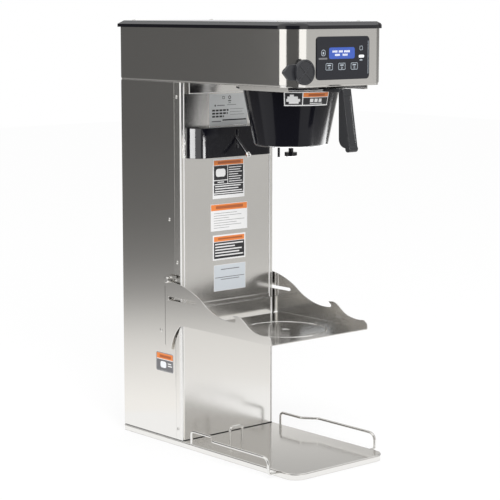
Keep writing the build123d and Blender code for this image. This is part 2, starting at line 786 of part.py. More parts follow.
def make_handle():
    back = funnel_y - grip_back_reach
    top = flange_high
    half = grip_width / 2
    heel = grip_point(*grip_heel_end)
    with BuildLine() as line:
        Polyline(grip_point(*grip_toe_end), grip_point(grip_top_depth, 0), grip_point(0, 0),
                 grip_point(*grip_rear_foot))
        ThreePointArc(grip_point(*grip_rear_foot), grip_point(*grip_heel_middle), heel)
        ThreePointArc(heel, grip_point(*grip_toe_middle), grip_point(*grip_toe_end))
    grip = extrude(make_face(Plane.YZ * line.line), amount=half, both=True)
    grip -= block(-half + grip_wall, half - grip_wall, back - grip_wall, back + 1,
                  top - grip_pocket_foot, top - arm_thickness)
    high = grip_front(grip_groove_top)
    low = grip_front(grip_groove_foot)
    outside = grip_toe_end[0] + 1
    with BuildLine() as line:
        Polyline(grip_point(high - grip_groove_depth, grip_groove_top),
                 grip_point(low - grip_groove_depth, grip_groove_foot),
                 grip_point(outside, grip_groove_foot), grip_point(outside, grip_groove_top),
                 grip_point(high - grip_groove_depth, grip_groove_top))
    grip -= extrude(make_face(Plane.YZ * line.line), amount=half - grip_wall, both=True)
    wide = arm_width / 2
    front_edge = funnel_y - flange_radius
    arm = block(-wide, wide, back - grip_wall, front_edge + arm_under_flange, top - arm_thickness, top)
    arm -= cone_z(funnel_bottom_radius, funnel_top_radius, funnel_low, flange_low)
    arm -= rod_z(flange_radius, 0, funnel_y, flange_low, flange_high + 1)
    parts["funnel_handle"] = grip + arm


def make_rails():
    rails = []
    front = head_front_y + rail_front
    rear = front + rail_length
    low = head_bottom - rail_drop
    for side in (-1, 1):
        web = sorted((side * rail_x, side * (rail_x + rail_web)))
        lip = sorted((side * (rail_x + rail_web - rail_lip), side * (rail_x + rail_web)))
        rail = block(*web, front, rear, low, head_bottom)
        rail += block(*lip, front, rear, low, low + rail_lip_thickness)
        rails.append(rail)
    parts["funnel_rails"] = rails

    neck_top = head_bottom + spray_neck_height
    head = rod_z(spray_radius, 0, funnel_y, head_bottom - spray_thickness, head_bottom)
    for step in range(spray_hole_count):
        turn = math.radians(360 * step / spray_hole_count)
        head -= rod_z(spray_hole_radius, spray_hole_circle * math.cos(turn),
                      funnel_y + spray_hole_circle * math.sin(turn), head_bottom - spray_thickness - 1,
                      head_bottom + 1)
    head += ring_z(spray_neck_radius, pipe_bore, 0, funnel_y, head_bottom - spray_thickness, neck_top)
    head -= rod_z(pipe_bore, 0, funnel_y, head_bottom - spray_thickness / 2, neck_top + 1)
    parts["spray_head"] = head

    channel_low = head_bottom - channel_drop
    channel_front = trunk_front_y - channel_reach
    half = shroud_width / 2
    channel = block(-half, half, channel_front, panel_face_y, channel_low, head_bottom)
    channel -= block(-half + sheet, half - sheet, channel_front + sheet, panel_face_y + 1,
                     channel_low + sheet, head_bottom + 1)
    parts["cross_channel"] = channel


# ---- Dilution shroud and nozzle ----------------------------------------------------------------
def shroud_outline(grow):
    x = shroud_width / 2 + grow
    front = trunk_front_y - shroud_reach - grow
    back = panel_face_y
    r = shroud_corner + grow
    k = r * (1 - math.sqrt(0.5))
    with BuildLine() as line:
        Polyline((-x, front + r), (-x, back), (x, back), (x, front + r))
        ThreePointArc((x, front + r), (x - k, front + k), (x - r, front))
        Line((x - r, front), (-x + r, front))
        ThreePointArc((-x + r, front), (-x + k, front + k), (-x, front + r))
    return make_face(line.line)


def nozzle_points():
    inlet_z = base_top + nozzle_inlet_z
    return [
        (0, seam_y - dilution_pipe_inset, inlet_z),
        (0, trunk_front_y - nozzle_bend_reach, inlet_z),
        (0, trunk_front_y - nozzle_tip_reach, base_top + nozzle_tip_z),
    ]


def make_shroud():
    low = base_top + shroud_low
    high = base_top + shroud_high
    shell = slab(shroud_outline(0), low, high)
    front = trunk_front_y - shroud_reach
    shell -= slab(shroud_outline(-shroud_wall), low + shroud_wall, high - shroud_wall)
    slot = nozzle_slot_half
    shell -= block(-slot, slot, front - 1, front + 2 * shroud_wall, base_top + nozzle_slot_low,
                   base_top + nozzle_inlet_z + nozzle_slot_head)
    parts["dilution_shroud"] = shell

    inlet, bend, tip = [Vector(*p) for p in nozzle_points()]
    parts["dilution_nozzle"] = pipe(nozzle_points(), [nozzle_bend_radius], nozzle_radius, nozzle_bore)
    aim = (tip - bend).normalized()
    end = Plane(origin=tip + aim * (tip_lip - tip_length), z_dir=aim)
    sleeve = extrude(end * Circle(tip_radius), amount=tip_length)
    sleeve -= extrude(end * Circle(nozzle_radius), amount=tip_length - tip_lip)
    sleeve -= extrude(end * Circle(nozzle_bore), amount=tip_length)
    parts["nozzle_tip"] = sleeve


# ---- Flip tray ----------------------------------------------------------------------------------
def tray_point(forward, up):
    """A place on the tray's side plate, measured from the guide pin."""
    return (pin_y - forward, pin_z + up)


def stud_edge(turn):
    """The plate's edge that stays just clear of the hook stud as the tray swings and sinks."""
    angle = math.radians(turn)
    rate = tray_drop / math.radians(tray_swing)
    forward = rate * angle + stud_rise * math.sin(angle)
    up = stud_rise * math.cos(angle)
    along = Vector(rate + stud_rise * math.cos(angle), -stud_rise * math.sin(angle)).normalized()
    reach = stud_radius + stud_clearance
    return tray_point(forward + along.Y * reach, up - along.X * reach)


def make_tray():
    floor = -tray_floor_drop
    hook_low = stud_rise + stud_radius + stud_clearance
    reach = stud_radius + stud_clearance
    follow = [stud_edge(turn) for turn in (0, 18, 36, 54, 72, 90)]
    sweep_edge = [tray_point(*place) for place in tray_sweep]
    notch = [tray_point(*place) for place in tray_notch]
    nose = [tray_point(*place) for place in tray_nose]
    tail_start = tray_point(tray_tail_start, floor)
    tail_end = tray_point(*tray_tail_end)
    hook_top = tray_point(0, hook_low)
    ear_top = hook_low + ear_height
    with BuildLine() as line:
        Spline(*follow, *sweep_edge)
        Polyline(*notch)
        Spline(*nose)
        ThreePointArc(nose[-1], tray_point(*tray_nose_turn), tray_point(tray_front, -tray_front_drop))
        Polyline(tray_point(tray_front, -tray_front_drop), tray_point(tray_front, floor), tail_start)
        ThreePointArc(tail_start, tray_point(*tray_tail_middle), tail_end)
        Polyline(tail_end, tray_point(-tray_tail_tip, tray_tail_end[1]),
                 tray_point(-tray_rear, tray_tail_end[1] + tray_tail_rise),
                 tray_point(-tray_rear, ear_rear_rise), tray_point(-tray_rear + ear_chamfer, ear_top),
                 tray_point(ear_forward, ear_top), tray_point(ear_forward, hook_low), hook_top)
        ThreePointArc(hook_top, tray_point(-reach, stud_rise), stud_edge(0))
    profile = make_face(Plane.YZ * line.line)
    slot_front = tray_drop + slot_half_height
    slot_middle = (slot_front - slot_rear) / 2
    slot_size = slot_front + slot_rear
    slot = Pos(0, pin_y - slot_middle, pin_z) * (Plane.YZ * SlotOverall(slot_size, 2 * slot_half_height))
    profile -= slot
    tray = Pos(-plate_outer_x, 0, 0) * extrude(profile, amount=tray_sheet)
    tray += Pos(plate_inner_x, 0, 0) * extrude(profile, amount=tray_sheet)
    floor_z = pin_z - tray_floor_drop
    tray += block(-plate_outer_x, plate_outer_x, pin_y - tray_front, pin_y - tray_floor_rear,
                  floor_z, floor_z + tray_sheet)
    ring_y = pin_y - ring_reach
    bead = Pos(0, ring_y, floor_z + tray_sheet - ring_bead_sink) * Torus(ring_radius, ring_bead)
    bead -= block(-half_width, half_width, ring_y - 2 * ring_radius, ring_y + 2 * ring_radius,
                  floor_z - 2 * ring_bead, floor_z + ring_bead_floor)
    tray += bead
    sphere = (dimple_radius ** 2 + dimple_depth ** 2) / (2 * dimple_depth)
    surface = floor_z + tray_sheet
    bulge = Pos(0, ring_y, surface + sphere - dimple_depth) * Sphere(sphere + tray_sheet)
    tray += bulge & rod_z(dimple_radius + tray_sheet, 0, ring_y, floor_z - 2 * dimple_depth, surface)
    tray -= Pos(0, ring_y, surface + sphere - dimple_depth) * Sphere(sphere)
    parts["flip_tray"] = tray

    pins = []
    bushings = []
    studs = []
    for side in (-1, 1):
        inner = half_width - sheet - bushing_length
        outer = plate_outer_x + pin_end_gap
        pin = rod_x(pin_radius, side * inner, side * (outer + pin_head_thickness), pin_y, pin_z)
        pin += rod_x(pin_head_radius, side * outer, side * (outer + pin_head_thickness), pin_y, pin_z)
        pins.append(pin)
        bushing = rod_x(bushing_radius, side * inner, side * (half_width - sheet), pin_y, pin_z)
        bushing -= rod_x(pin_radius + pin_running_clearance, side * (inner - 1), side * half_width,
                         pin_y, pin_z)
        bushings.append(bushing)
        z = pin_z + stud_rise
        head_start = plate_outer_x + stud_head_gap
        stud = rod_x(stud_radius, side * half_width, side * (head_start + stud_head_thickness), pin_y, z)
        spacer_end = plate_inner_x - stud_spacer_gap
        stud += rod_x(stud_spacer_radius, side * half_width, side * spacer_end, pin_y, z)
        head = rod_x(stud_head_radius, side * head_start, side * (head_start + stud_head_thickness),
                     pin_y, z)
        stud += fillet(head.edges(), stud_round)
        studs.append(stud)
    parts["guide_pins"] = pins
    parts["pin_bushings"] = bushings
    parts["hook_studs"] = studs


# ---- Inside the trunk and head -------------------------------------------------------------------
def make_tank():
    low = base_top + tank_floor
    high = base_top + tank_top
    x = half_width - sheet
    front = seam_y + lap_weld + shelf_gap
    shelf = block(-x, x, front, back_y - sheet, shelf_z, shelf_z + shelf_thickness)
    for side in (-1, 1):
        edges = sorted((side * x, side * (x - shelf_thickness)))
        shelf += block(*edges, front, back_y - sheet, shelf_z - shelf_flange, shelf_z)
    hole = pipe_radius + pipe_hole_clearance
    for x in (-pipe_offset, pipe_offset):
        shelf -= rod_z(hole, x, tank_y, shelf_z - 1, shelf_z + 2 * shelf_thickness)
    parts["tank_shelf"] = shelf

    tank = rod_z(tank_radius, 0, tank_y, low, high)
    tank += rod_z(tank_radius + tank_flange, 0, tank_y, high - tank_wall, high)
    tank -= rod_z(tank_radius - tank_wall, 0, tank_y, low + tank_wall, high + 1)
    parts["water_tank"] = tank
    gasket_high = high + gasket_thickness
    parts["tank_gasket"] = ring_z(tank_radius + tank_flange, tank_radius, 0, tank_y, high, gasket_high)
    lid_high = gasket_high + tank_lid_thickness
    lid = rod_z(tank_radius + tank_flange, 0, tank_y, gasket_high, lid_high)
    ports = [(-element_half, 0, element_radius), (element_half, 0, element_radius),
             (0, probe_offset, probe_radius), (0, -probe_offset, probe_radius),
             (-pipe_offset, -brew_port_front, pipe_radius)]
    for x, y, r in ports:
        lid -= rod_z(r, x, tank_y + y, gasket_high - 1, lid_high + 1)
    parts["tank_lid"] = lid

    top = lid_high + element_hub_height + element_pin_height
    bottom = high - element_depth
    e = element_half
    points = [(-e, tank_y, top), (-e, tank_y, bottom), (e, tank_y, bottom), (e, tank_y, top)]
    element = pipe(points, [element_bend, element_bend], element_radius)
    for side in (-1, 1):
        element += rod_z(element_hub_radius, side * e, tank_y, lid_high, lid_high + element_hub_height)
    parts["heating_element"] = element

    probes = []
    for y, depth in zip((probe_offset, -probe_offset), probe_depths):
        probe = rod_z(probe_radius, 0, tank_y + y, lid_high - depth, lid_high + probe_cap_height)
        probe += rod_z(probe_cap_radius, 0, tank_y + y, lid_high, lid_high + probe_cap_height)
        probes.append(probe)
    parts["tank_probes"] = probes
    parts["limit_thermostat"] = rod_z(thermostat_radius, thermostat_x, tank_y + thermostat_back, lid_high,
                                      lid_high + thermostat_height)
    return lid_high


def solenoid(x, y, z):
    """A valve block with its coil on top; z is the block's underside."""
    half = valve_block / 2
    valve = block(x - half, x + half, y - half, y + half, z, z + valve_block)
    return valve + rod_z(coil_radius, x, y, z + valve_block, z + valve_block + coil_height)


def make_brew_line(lid_high):
    half = valve_block / 2
    pipe_z = head_bottom + sheet + half
    valve_y = trunk_front_y - brew_valve_reach
    parts["brew_valve"] = solenoid(-pipe_offset, valve_y, head_bottom + sheet)
    port_y = tank_y - brew_port_front
    x = -pipe_offset
    rear = pipe([(x, port_y, lid_high - pipe_seat), (x, port_y, pipe_z), (x, valve_y + half, pipe_z)],
                [pipe_bend], pipe_radius, pipe_bore)
    front = pipe([(x, valve_y - half, pipe_z), (x, funnel_y + spray_pipe_turn, pipe_z),
                  (0, funnel_y, pipe_z), (0, funnel_y, head_bottom + spray_neck_height)],
                 [pipe_bend, spray_pipe_bend], pipe_radius, pipe_bore)
    parts["brew_pipes"] = [rear, front]


def make_dilution():
    half = valve_block / 2
    run_y = seam_y - dilution_pipe_inset + nozzle_radius
    top_z = base_top + nozzle_inlet_z
    low_z = shelf_z - shelf_flange - dilution_valve_drop
    parts["dilution_pipe"] = pipe(
        [(dilution_x, run_y, low_z), (dilution_x, run_y, top_z), (-nozzle_radius, run_y, top_z)],
        [pipe_bend], nozzle_radius, nozzle_bore)
    valve_y = run_y + dilution_valve_back
    body = block(dilution_x - half, dilution_x + half, valve_y - half, valve_y + half,
                 low_z - valve_block, low_z)
    coil = rod_y(coil_radius, dilution_x, valve_y + half, valve_y + half + coil_height, low_z - half)
    parts["dilution_valve"] = body + coil


def make_water_supply():
    half = valve_block / 2
    back = back_y - sheet
    inlet = block(fitting_x - half, fitting_x + half, back - valve_block, back,
                  fitting_z - half, fitting_z + half)
    inlet += rod_y(coil_radius, fitting_x, back - valve_block - coil_height, back - valve_block, fitting_z)
    parts["inlet_valve"] = inlet
    tube_end = back_y + fitting_length
    tube = rod_y(fitting_radius, fitting_x, back, tube_end, fitting_z)
    tube += rod_y(fitting_collar_radius, fitting_x, back_y, back_y + fitting_collar_length, fitting_z)
    tube -= rod_y(fitting_bore, fitting_x, back + fitting_floor, tube_end + 1, fitting_z)
    parts["inlet_fitting"] = tube
    y = back - half
    tank_bottom = base_top + tank_floor
    run_z = shelf_z - fill_pipe_drop
    parts["fill_pipe"] = pipe(
        [(fitting_x, y, fitting_z + half), (fitting_x, y, run_z), (-pipe_offset, tank_y, run_z),
         (-pipe_offset, tank_y, tank_bottom)],
        [pipe_bend, pipe_bend], pipe_radius, pipe_bore)
    low = base_top + drain_height
    end = trunk_front_y + drain_reach
    drain = pipe([(pipe_offset, tank_y, tank_bottom), (pipe_offset, tank_y, low), (pipe_offset, end, low)],
                 [pipe_bend], pipe_radius, pipe_bore)
    parts["drain_pipe"] = drain + rod_y(drain_plug_radius, pipe_offset, end - drain_plug_length, end, low)


def make_electrics():
    gland_end = back_y + gland_length
    gland = rod_y(gland_radius, gland_x, back_y, gland_end, gland_z)
    gland += rod_y(gland_neck_radius, gland_x, back_y - sheet, back_y, gland_z)
    gland -= rod_y(gland_bore, gland_x, back_y - 2 * sheet, gland_end + 1, gland_z)
    parts["power_gland"] = gland
    wall = -half_width + sheet
    face = wall + standoff_length
    y0 = trunk_front_y + board_setback
    y1 = y0 + board_depth
    z0 = base_top + board_rise
    z1 = z0 + board_height
    board = block(face, face + board_thickness, y0, y1, z0, z1)
    for y in (y0 + standoff_inset, y1 - standoff_inset):
        for z in (z0 + standoff_inset, z1 - standoff_inset):
            board += rod_x(standoff_radius, wall, face, y, z)
    parts["control_board"] = board


make_base()
make_wires()
make_trunk()
make_labels()
make_head()
make_panel()
make_valve()
make_funnel()
make_handle()
make_rails()
make_shroud()
make_tray()
make_brew_line(make_tank())
make_dilution()
make_water_supply()
make_electrics()

os.makedirs("parts", exist_ok=True)
for name, shape in parts.items():
    solids = []
    for piece in shape if isinstance(shape, list) else [shape]:
        solids.extend(piece.solids())
    export_step(solids[0] if len(solids) == 1 else Compound(children=solids), f"parts/{name}.step")
print(len(parts), "nodes")
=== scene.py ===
# %% [markdown]
# Looks of an iced tea brewer with a flip tray. Its solids come from CAD, because its tray, funnel
# and keys have to fit and move. This file gives them their finish and fine detail.
# Lengths are metres: +Z is up, the front faces -Y and the head's left side is -X.

# %% Load the frame
import json
import math

import bmesh
import bpy
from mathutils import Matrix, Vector

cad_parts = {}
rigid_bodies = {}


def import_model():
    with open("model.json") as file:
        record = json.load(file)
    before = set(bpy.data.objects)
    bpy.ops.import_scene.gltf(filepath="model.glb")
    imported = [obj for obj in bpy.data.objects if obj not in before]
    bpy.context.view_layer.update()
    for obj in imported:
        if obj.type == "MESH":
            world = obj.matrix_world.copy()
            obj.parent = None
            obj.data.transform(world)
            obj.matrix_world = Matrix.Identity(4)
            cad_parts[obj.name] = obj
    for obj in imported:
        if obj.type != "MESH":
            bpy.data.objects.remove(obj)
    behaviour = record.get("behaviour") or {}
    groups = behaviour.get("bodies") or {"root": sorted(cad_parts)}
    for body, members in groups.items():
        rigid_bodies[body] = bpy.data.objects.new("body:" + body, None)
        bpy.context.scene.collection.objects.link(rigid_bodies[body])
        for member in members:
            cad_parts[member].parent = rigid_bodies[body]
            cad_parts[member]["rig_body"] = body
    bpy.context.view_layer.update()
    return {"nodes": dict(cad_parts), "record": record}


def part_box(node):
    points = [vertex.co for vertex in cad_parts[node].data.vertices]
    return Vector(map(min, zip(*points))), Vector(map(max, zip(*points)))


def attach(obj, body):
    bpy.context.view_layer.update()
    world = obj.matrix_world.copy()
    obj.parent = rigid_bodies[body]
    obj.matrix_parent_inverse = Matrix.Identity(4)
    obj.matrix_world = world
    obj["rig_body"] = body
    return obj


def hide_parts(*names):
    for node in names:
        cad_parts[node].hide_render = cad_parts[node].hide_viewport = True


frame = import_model()
scene = bpy.context.scene
MM = 0.001

# %% [markdown]
# The camera stands at the front left and looks a little down. A short lens close by would fit the
# frame too, but it would make the head loom over the base. A long lens far off keeps upright edges
# nearly parallel, as a drawing does.

# %% Camera
LENS, SENSOR_WIDTH = 121.36, 36.0
CAMERA_PLACE = (-2.44747, -2.79785, 0.98015)
CAMERA_TILT, CAMERA_TURN = 81.81, -41.14


def put(name, data):
    made = bpy.data.objects.new(name, data)
    scene.collection.objects.link(made)
    return made


camera_data = bpy.data.cameras.new("camera")
camera_data.lens = LENS
camera_data.sensor_width = SENSOR_WIDTH
camera = put("camera", camera_data)
camera.location = CAMERA_PLACE
camera.rotation_euler = (math.radians(CAMERA_TILT), 0.0, math.radians(CAMERA_TURN))
scene.camera = camera
scene.view_settings.view_transform = "Standard"
print("camera", round(camera.location.length, 2), "m off")

# %% [markdown]
# A material is a tree of nodes. One is easily drawn by hand, but thirty that should match are
# quicker from a few tools. `add` makes a node and sets its values, `link` joins two sockets, and
# `finish` starts a material on the principled shader.


# %% Shader tools
def add(nodes, kind, **values):
    """Adds a node. A value goes to the input of that name, or else to the node's own setting."""
    made = nodes.new(kind)
    for name, value in values.items():
        if name in made.inputs:
            made.inputs[name].default_value = value
        else:
            setattr(made, name, value)
    return made


def node(owner, kind, **values):
    return add(owner.node_tree.nodes, kind, **values)


def link(out_socket, in_socket):
    out_socket.id_data.links.new(out_socket, in_socket)


finishes = {}


def finish(name, colour, metallic=0.0, roughness=0.5, **sockets):
    material = bpy.data.materials.new(name)
    material.use_nodes = True
    shader = material.node_tree.nodes["Principled BSDF"]
    shader.inputs["Base Color"].default_value = (*colour, 1.0)
    shader.inputs["Metallic"].default_value = metallic
    shader.inputs["Roughness"].default_value = roughness
    for key, value in sockets.items():
        shader.inputs[key.replace("_", " ")].default_value = value
    finishes[name] = material
    return material


# %% [markdown]
# Brushed steel and moulded plastic are never quite even. An image of the grain would need
# unwrapping and would blur close up, so the grain is noise. It reads the object's own coordinates,
# which stay with a piece that moves, and drives the roughness and a faint bump.


# %% Grain
NOISE_LOW, NOISE_HIGH = 0.25, 0.75


def streaks(material, scale, detail=3.0):
    """Noise that repeats scale times a metre along X, Y and Z."""
    place = node(material, "ShaderNodeTexCoord")
    mapping = node(material, "ShaderNodeMapping", Scale=scale)
    noise = node(material, "ShaderNodeTexNoise", Scale=1.0, Detail=detail)
    link(place.outputs["Object"], mapping.inputs["Vector"])
    link(mapping.outputs["Vector"], noise.inputs["Vector"])
    return noise.outputs["Fac"]


def vary_roughness(material, fac, middle, spread):
    shader = material.node_tree.nodes["Principled BSDF"]
    levels = {"From Min": NOISE_LOW, "From Max": NOISE_HIGH,
              "To Min": middle - spread, "To Max": middle + spread}
    spread_out = node(material, "ShaderNodeMapRange", **levels)
    link(fac, spread_out.inputs["Value"])
    link(spread_out.outputs["Result"], shader.inputs["Roughness"])


def add_bump(material, fac, strength, distance):
    shader = material.node_tree.nodes["Principled BSDF"]
    bump = node(material, "ShaderNodeBump", Strength=strength, Distance=distance)
    link(fac, bump.inputs["Height"])
    link(bump.outputs["Normal"], shader.inputs["Normal"])


# %% [markdown]
# The metals differ from each other in tint, gloss and the way of their grain, and the plastics in
# colour, gloss and texture. Copying one material and changing it would do, but a later change
# would then have to be made in every copy. One recipe for each kind keeps them a family.

# %% Two kinds of finish
BRUSH_DEPTH = 0.1 * MM
MOULD_DEPTH = 0.2 * MM


def brushed(name, tint, roughness, scale, bump, spread):
    material = finish(name, tint, metallic=1.0, roughness=roughness)
    grain = streaks(material, scale)
    vary_roughness(material, grain, roughness, spread)
    add_bump(material, grain, bump, BRUSH_DEPTH)
    return material


def moulded(name, colour, roughness, pitch, bump, spread=0.04, **sockets):
    material = finish(name, colour, roughness=roughness, **sockets)
    texture = streaks(material, (pitch, pitch, pitch), 2.0)
    vary_roughness(material, texture, roughness, spread)
    add_bump(material, texture, bump, MOULD_DEPTH)
    return material


# %% [markdown]
# A belt brushes sheet steel into long fine lines: up and down on the trunk, across on the head and
# the base, front to back on the tray. Anisotropic shading shows them too, but it needs tangents on
# every piece. Noise that repeats often across the lines and seldom along them looks the same.

# %% Metals
STEEL = (0.86, 0.848, 0.825)
FINE, LONG = 1400, 8
steel_upright = brushed("steel_upright", STEEL, 0.13, (FINE, FINE, LONG), 0.02, 0.02)
steel_front = brushed("steel_front", STEEL, 0.20, (FINE, FINE, LONG), 0.02, 0.03)
steel_across = brushed("steel_across", STEEL, 0.13, (LONG, LONG, FINE), 0.02, 0.02)
steel_flat = brushed("steel_flat", STEEL, 0.13, (LONG, FINE, FINE), 0.015, 0.02)
steel_tray = brushed("steel_tray", STEEL, 0.14, (FINE, LONG, FINE), 0.02, 0.02)
bright_steel = brushed("bright_steel", (0.84, 0.83, 0.81), 0.18, (600, 600, 600), 0.02, 0.03)
brushed("brass", (0.70, 0.50, 0.22), 0.26, (500, 500, 500), 0.03, 0.05)
print("metals", len(bpy.data.materials))

# %% [markdown]
# The black pieces differ mostly in gloss: the funnel and the shroud are polished, the knob and the
# grip are satin. One shared black would be simpler, but then the trim, the knob and the funnel
# would look like one moulding. The numbers are the colour, the roughness, the grain's repeats per
# metre and its bump. IOR sets how much a plastic mirrors.

# %% Plastics, rubber and the rest
black_trim = moulded("black_trim", (0.003, 0.003, 0.006), 0.16, 1500, 0.03, IOR=1.6)
funnel_black = moulded("funnel_black", (0.005, 0.005, 0.008), 0.12, 900, 0.01, 0.02, IOR=1.33)
black_gloss = moulded("black_gloss", (0.005, 0.005, 0.008), 0.12, 900, 0.01, 0.02, IOR=1.45)
black_satin = moulded("black_satin", (0.030, 0.031, 0.035), 0.24, 2500, 0.05, IOR=1.5)
# The fold beads wear pale_rail: its pale colour is a painted highlight, which keeps their lines
# bright from every side.
pale_rail = moulded("pale_rail", (0.84, 0.835, 0.82), 0.32, 900, 0.02, Metallic=0.3)
black_grip = moulded("black_grip", (0.017, 0.018, 0.021), 0.24, 2500, 0.08)
grey_plastic = moulded("grey_plastic", (0.70, 0.70, 0.72), 0.40, 1500, 0.05)
panel_black = moulded("panel_black", (0.012, 0.013, 0.019), 0.30, 2500, 0.05)
button_black = moulded("button_black", (0.022, 0.024, 0.030), 0.34, 2500, 0.05)
display_blue = moulded("display_blue", (0.045, 0.10, 0.42), 0.18, 900, 0.0)
label_white = moulded("label_white", (0.80, 0.80, 0.80), 0.45, 900, 0.02)
plate_silver = moulded("plate_silver", (0.72, 0.74, 0.75), 0.35, 900, 0.02, Metallic=0.45)
rubber = moulded("rubber", (0.015, 0.015, 0.015), 0.75, 1800, 0.20)
moulded("clear_hose", (0.75, 0.74, 0.70), 0.30, 900, 0.03)
moulded("board_green", (0.02, 0.12, 0.05), 0.40, 900, 0.10)
moulded("white_plastic", (0.75, 0.75, 0.72), 0.40, 1200, 0.05)
print("materials", len(bpy.data.materials))

# %% [markdown]
# Every CAD solid gets its finish here, those inside the machine too. The finishes could be dragged
# onto sixty nodes by hand, but each node's record already names a slot. Most slots share the name
# of their finish, and a small table says the rest.

# %% Materials for the solids
by_slot = {**finishes, "steel": steel_upright, "black_plastic": black_gloss,
           "display": display_blue}
bodies = {name: made["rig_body"] for name, made in frame["nodes"].items()}
for entry in frame["record"]["subparts"]:
    for place in frame["nodes"][entry["node"]].material_slots:
        place.material = by_slot[entry["material_slot"]]

# %% [markdown]
# What shows is dressed. A CAD mesh is loose triangles with knife-sharp edges, but real sheet and
# mouldings have small rounds that catch the light. So a copy is joined into plain faces and
# bevelled. Plain smooth shading would bend its flat faces in the light, so the normals are
# weighted by area, which keeps them flat.

# %% Dressing tools
SAME_POINT = 0.02 * MM
FLAT_ANGLE, BEVEL_ANGLE, SHARP_ANGLE = (math.radians(angle) for angle in (0.5, 30, 45))
FACE_WEIGHT = 80


def joined_copy(name):
    """The node's mesh with its triangles merged into plain faces."""
    shape = bmesh.new()
    shape.from_mesh(frame["nodes"][name].data)
    bmesh.ops.remove_doubles(shape, verts=shape.verts, dist=SAME_POINT)
    bmesh.ops.dissolve_limit(shape, angle_limit=FLAT_ANGLE, verts=shape.verts, edges=shape.edges)
    bmesh.ops.recalc_face_normals(shape, faces=shape.faces)
    return shape


def as_piece(name, shape, materials, body):
    mesh = bpy.data.meshes.new(name)
    shape.to_mesh(mesh)
    shape.free()
    piece = put(name, mesh)
    for material in materials:
        mesh.materials.append(material)
    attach(piece, body)
    return piece


def settle(piece):
    """Turns the piece's modifiers into plain mesh."""
    graph = bpy.context.evaluated_depsgraph_get()
    mesh = bpy.data.meshes.new_from_object(piece.evaluated_get(graph))
    piece.modifiers.clear()
    piece.data = mesh


def soften(piece, width):
    bevel = piece.modifiers.new("bevel", "BEVEL")
    bevel.width = width
    bevel.segments = 2
    bevel.limit_method = "ANGLE"
    bevel.angle_limit = BEVEL_ANGLE
    bevel.use_clamp_overlap = False
    bevel.harden_normals = False
    settle(piece)
    piece.data.shade_smooth()
    piece.data.set_sharp_from_angle(angle=SHARP_ANGLE)
    weigh = piece.modifiers.new("weigh", "WEIGHTED_NORMAL")
    weigh.keep_sharp = True
    weigh.weight = FACE_WEIGHT
    settle(piece)


def dress(name, material, width, change=None):
    shape = joined_copy(name)
    if change:
        change(shape)
    piece = as_piece("dressed_" + name, shape, [material], bodies[name])
    soften(piece, width)
    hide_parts(name)
    return piece


# %% [markdown]
# Steel has no look of its own: it shows the room. Lamps alone would leave it black with white
# spots, so the room is evenly white. A little less light falls on the part than the camera and
# mirrors see, so that colours show as they are written.

# %% The room
WHITE = (1, 1, 1, 1)
ROOM_LEVEL = 0.92
world = bpy.data.worlds.new("room")
scene.world = world
world.use_nodes = True
world.node_tree.nodes.clear()
rays = node(world, "ShaderNodeLightPath")
seen = node(world, "ShaderNodeMath", operation="MAXIMUM")
seen_too = node(world, "ShaderNodeMath", operation="MAXIMUM")
link(rays.outputs["Is Camera Ray"], seen.inputs[0])
link(rays.outputs["Is Glossy Ray"], seen.inputs[1])
link(seen.outputs[0], seen_too.inputs[0])
link(rays.outputs["Is Transmission Ray"], seen_too.inputs[1])
white = node(world, "ShaderNodeBackground", Color=WHITE, Strength=1.0)
plain = node(world, "ShaderNodeBackground", Color=WHITE, Strength=ROOM_LEVEL)
mix = node(world, "ShaderNodeMixShader")
out = node(world, "ShaderNodeOutputWorld")
link(seen_too.outputs[0], mix.inputs["Fac"])
link(plain.outputs[0], mix.inputs[1])
link(white.outputs[0], mix.inputs[2])
link(mix.outputs[0], out.inputs["Surface"])
print("room level", ROOM_LEVEL)

# %% [markdown]
# The machine stands on white, with only a soft shadow round its foot. A plain white floor would
# come out grey beside the room, so the floor mostly glows, with a share of matt white that takes
# the shadow. Mirrors see the glow alone.


# %% Floor
FLOOR_REACH, FLOOR_Z = 9, -0.5 * MM
MATT_SHARE = 0.22


def empty_material(name):
    material = bpy.data.materials.new(name)
    material.use_nodes = True
    material.node_tree.nodes.clear()
    return material


def plain_mesh(name, corners, edges=(), faces=()):
    mesh = bpy.data.meshes.new(name)
    mesh.from_pydata(corners, edges, faces)
    return mesh


def flat_mesh(name, corners, faces):
    made = put(name, plain_mesh(name, corners, faces=faces))
    return made


floor = flat_mesh("floor", [(x * FLOOR_REACH, y * FLOOR_REACH, FLOOR_Z)
                            for x, y in ((-1, -1), (1, -1), (1, 1), (-1, 1))], [(0, 1, 2, 3)])
floor_finish = empty_material("floor")
glow = node(floor_finish, "ShaderNodeEmission", Strength=1.0)
matt = node(floor_finish, "ShaderNodeBsdfDiffuse", Color=WHITE)
both = node(floor_finish, "ShaderNodeMixShader", Fac=MATT_SHARE)
rays = node(floor_finish, "ShaderNodeLightPath")
mirrored = node(floor_finish, "ShaderNodeMixShader")
out = node(floor_finish, "ShaderNodeOutputMaterial")
link(glow.outputs[0], both.inputs[1])
link(matt.outputs[0], both.inputs[2])
link(rays.outputs["Is Glossy Ray"], mirrored.inputs["Fac"])
link(both.outputs[0], mirrored.inputs[1])
link(glow.outputs[0], mirrored.inputs[2])
link(mirrored.outputs[0], out.inputs["Surface"])
floor.data.materials.append(floor_finish)
print("floor", 2 * FLOOR_REACH, "m wide")

# %% [markdown]
# Cards give the steel its dark and bright bands, as the boards of a studio do. They are strips of
# a tall cylinder round the part, and rings on the floor. Grey paint on the steel would be wrong
# from every other side. Only mirror-like rays see them, so the light on the part stays plain.

# %% Card tools
CARD_RADIUS = 3.0
CARD_HEIGHT = 2.6
CARD_STEPS = 24
WARM = (1.0, 0.985, 0.96)


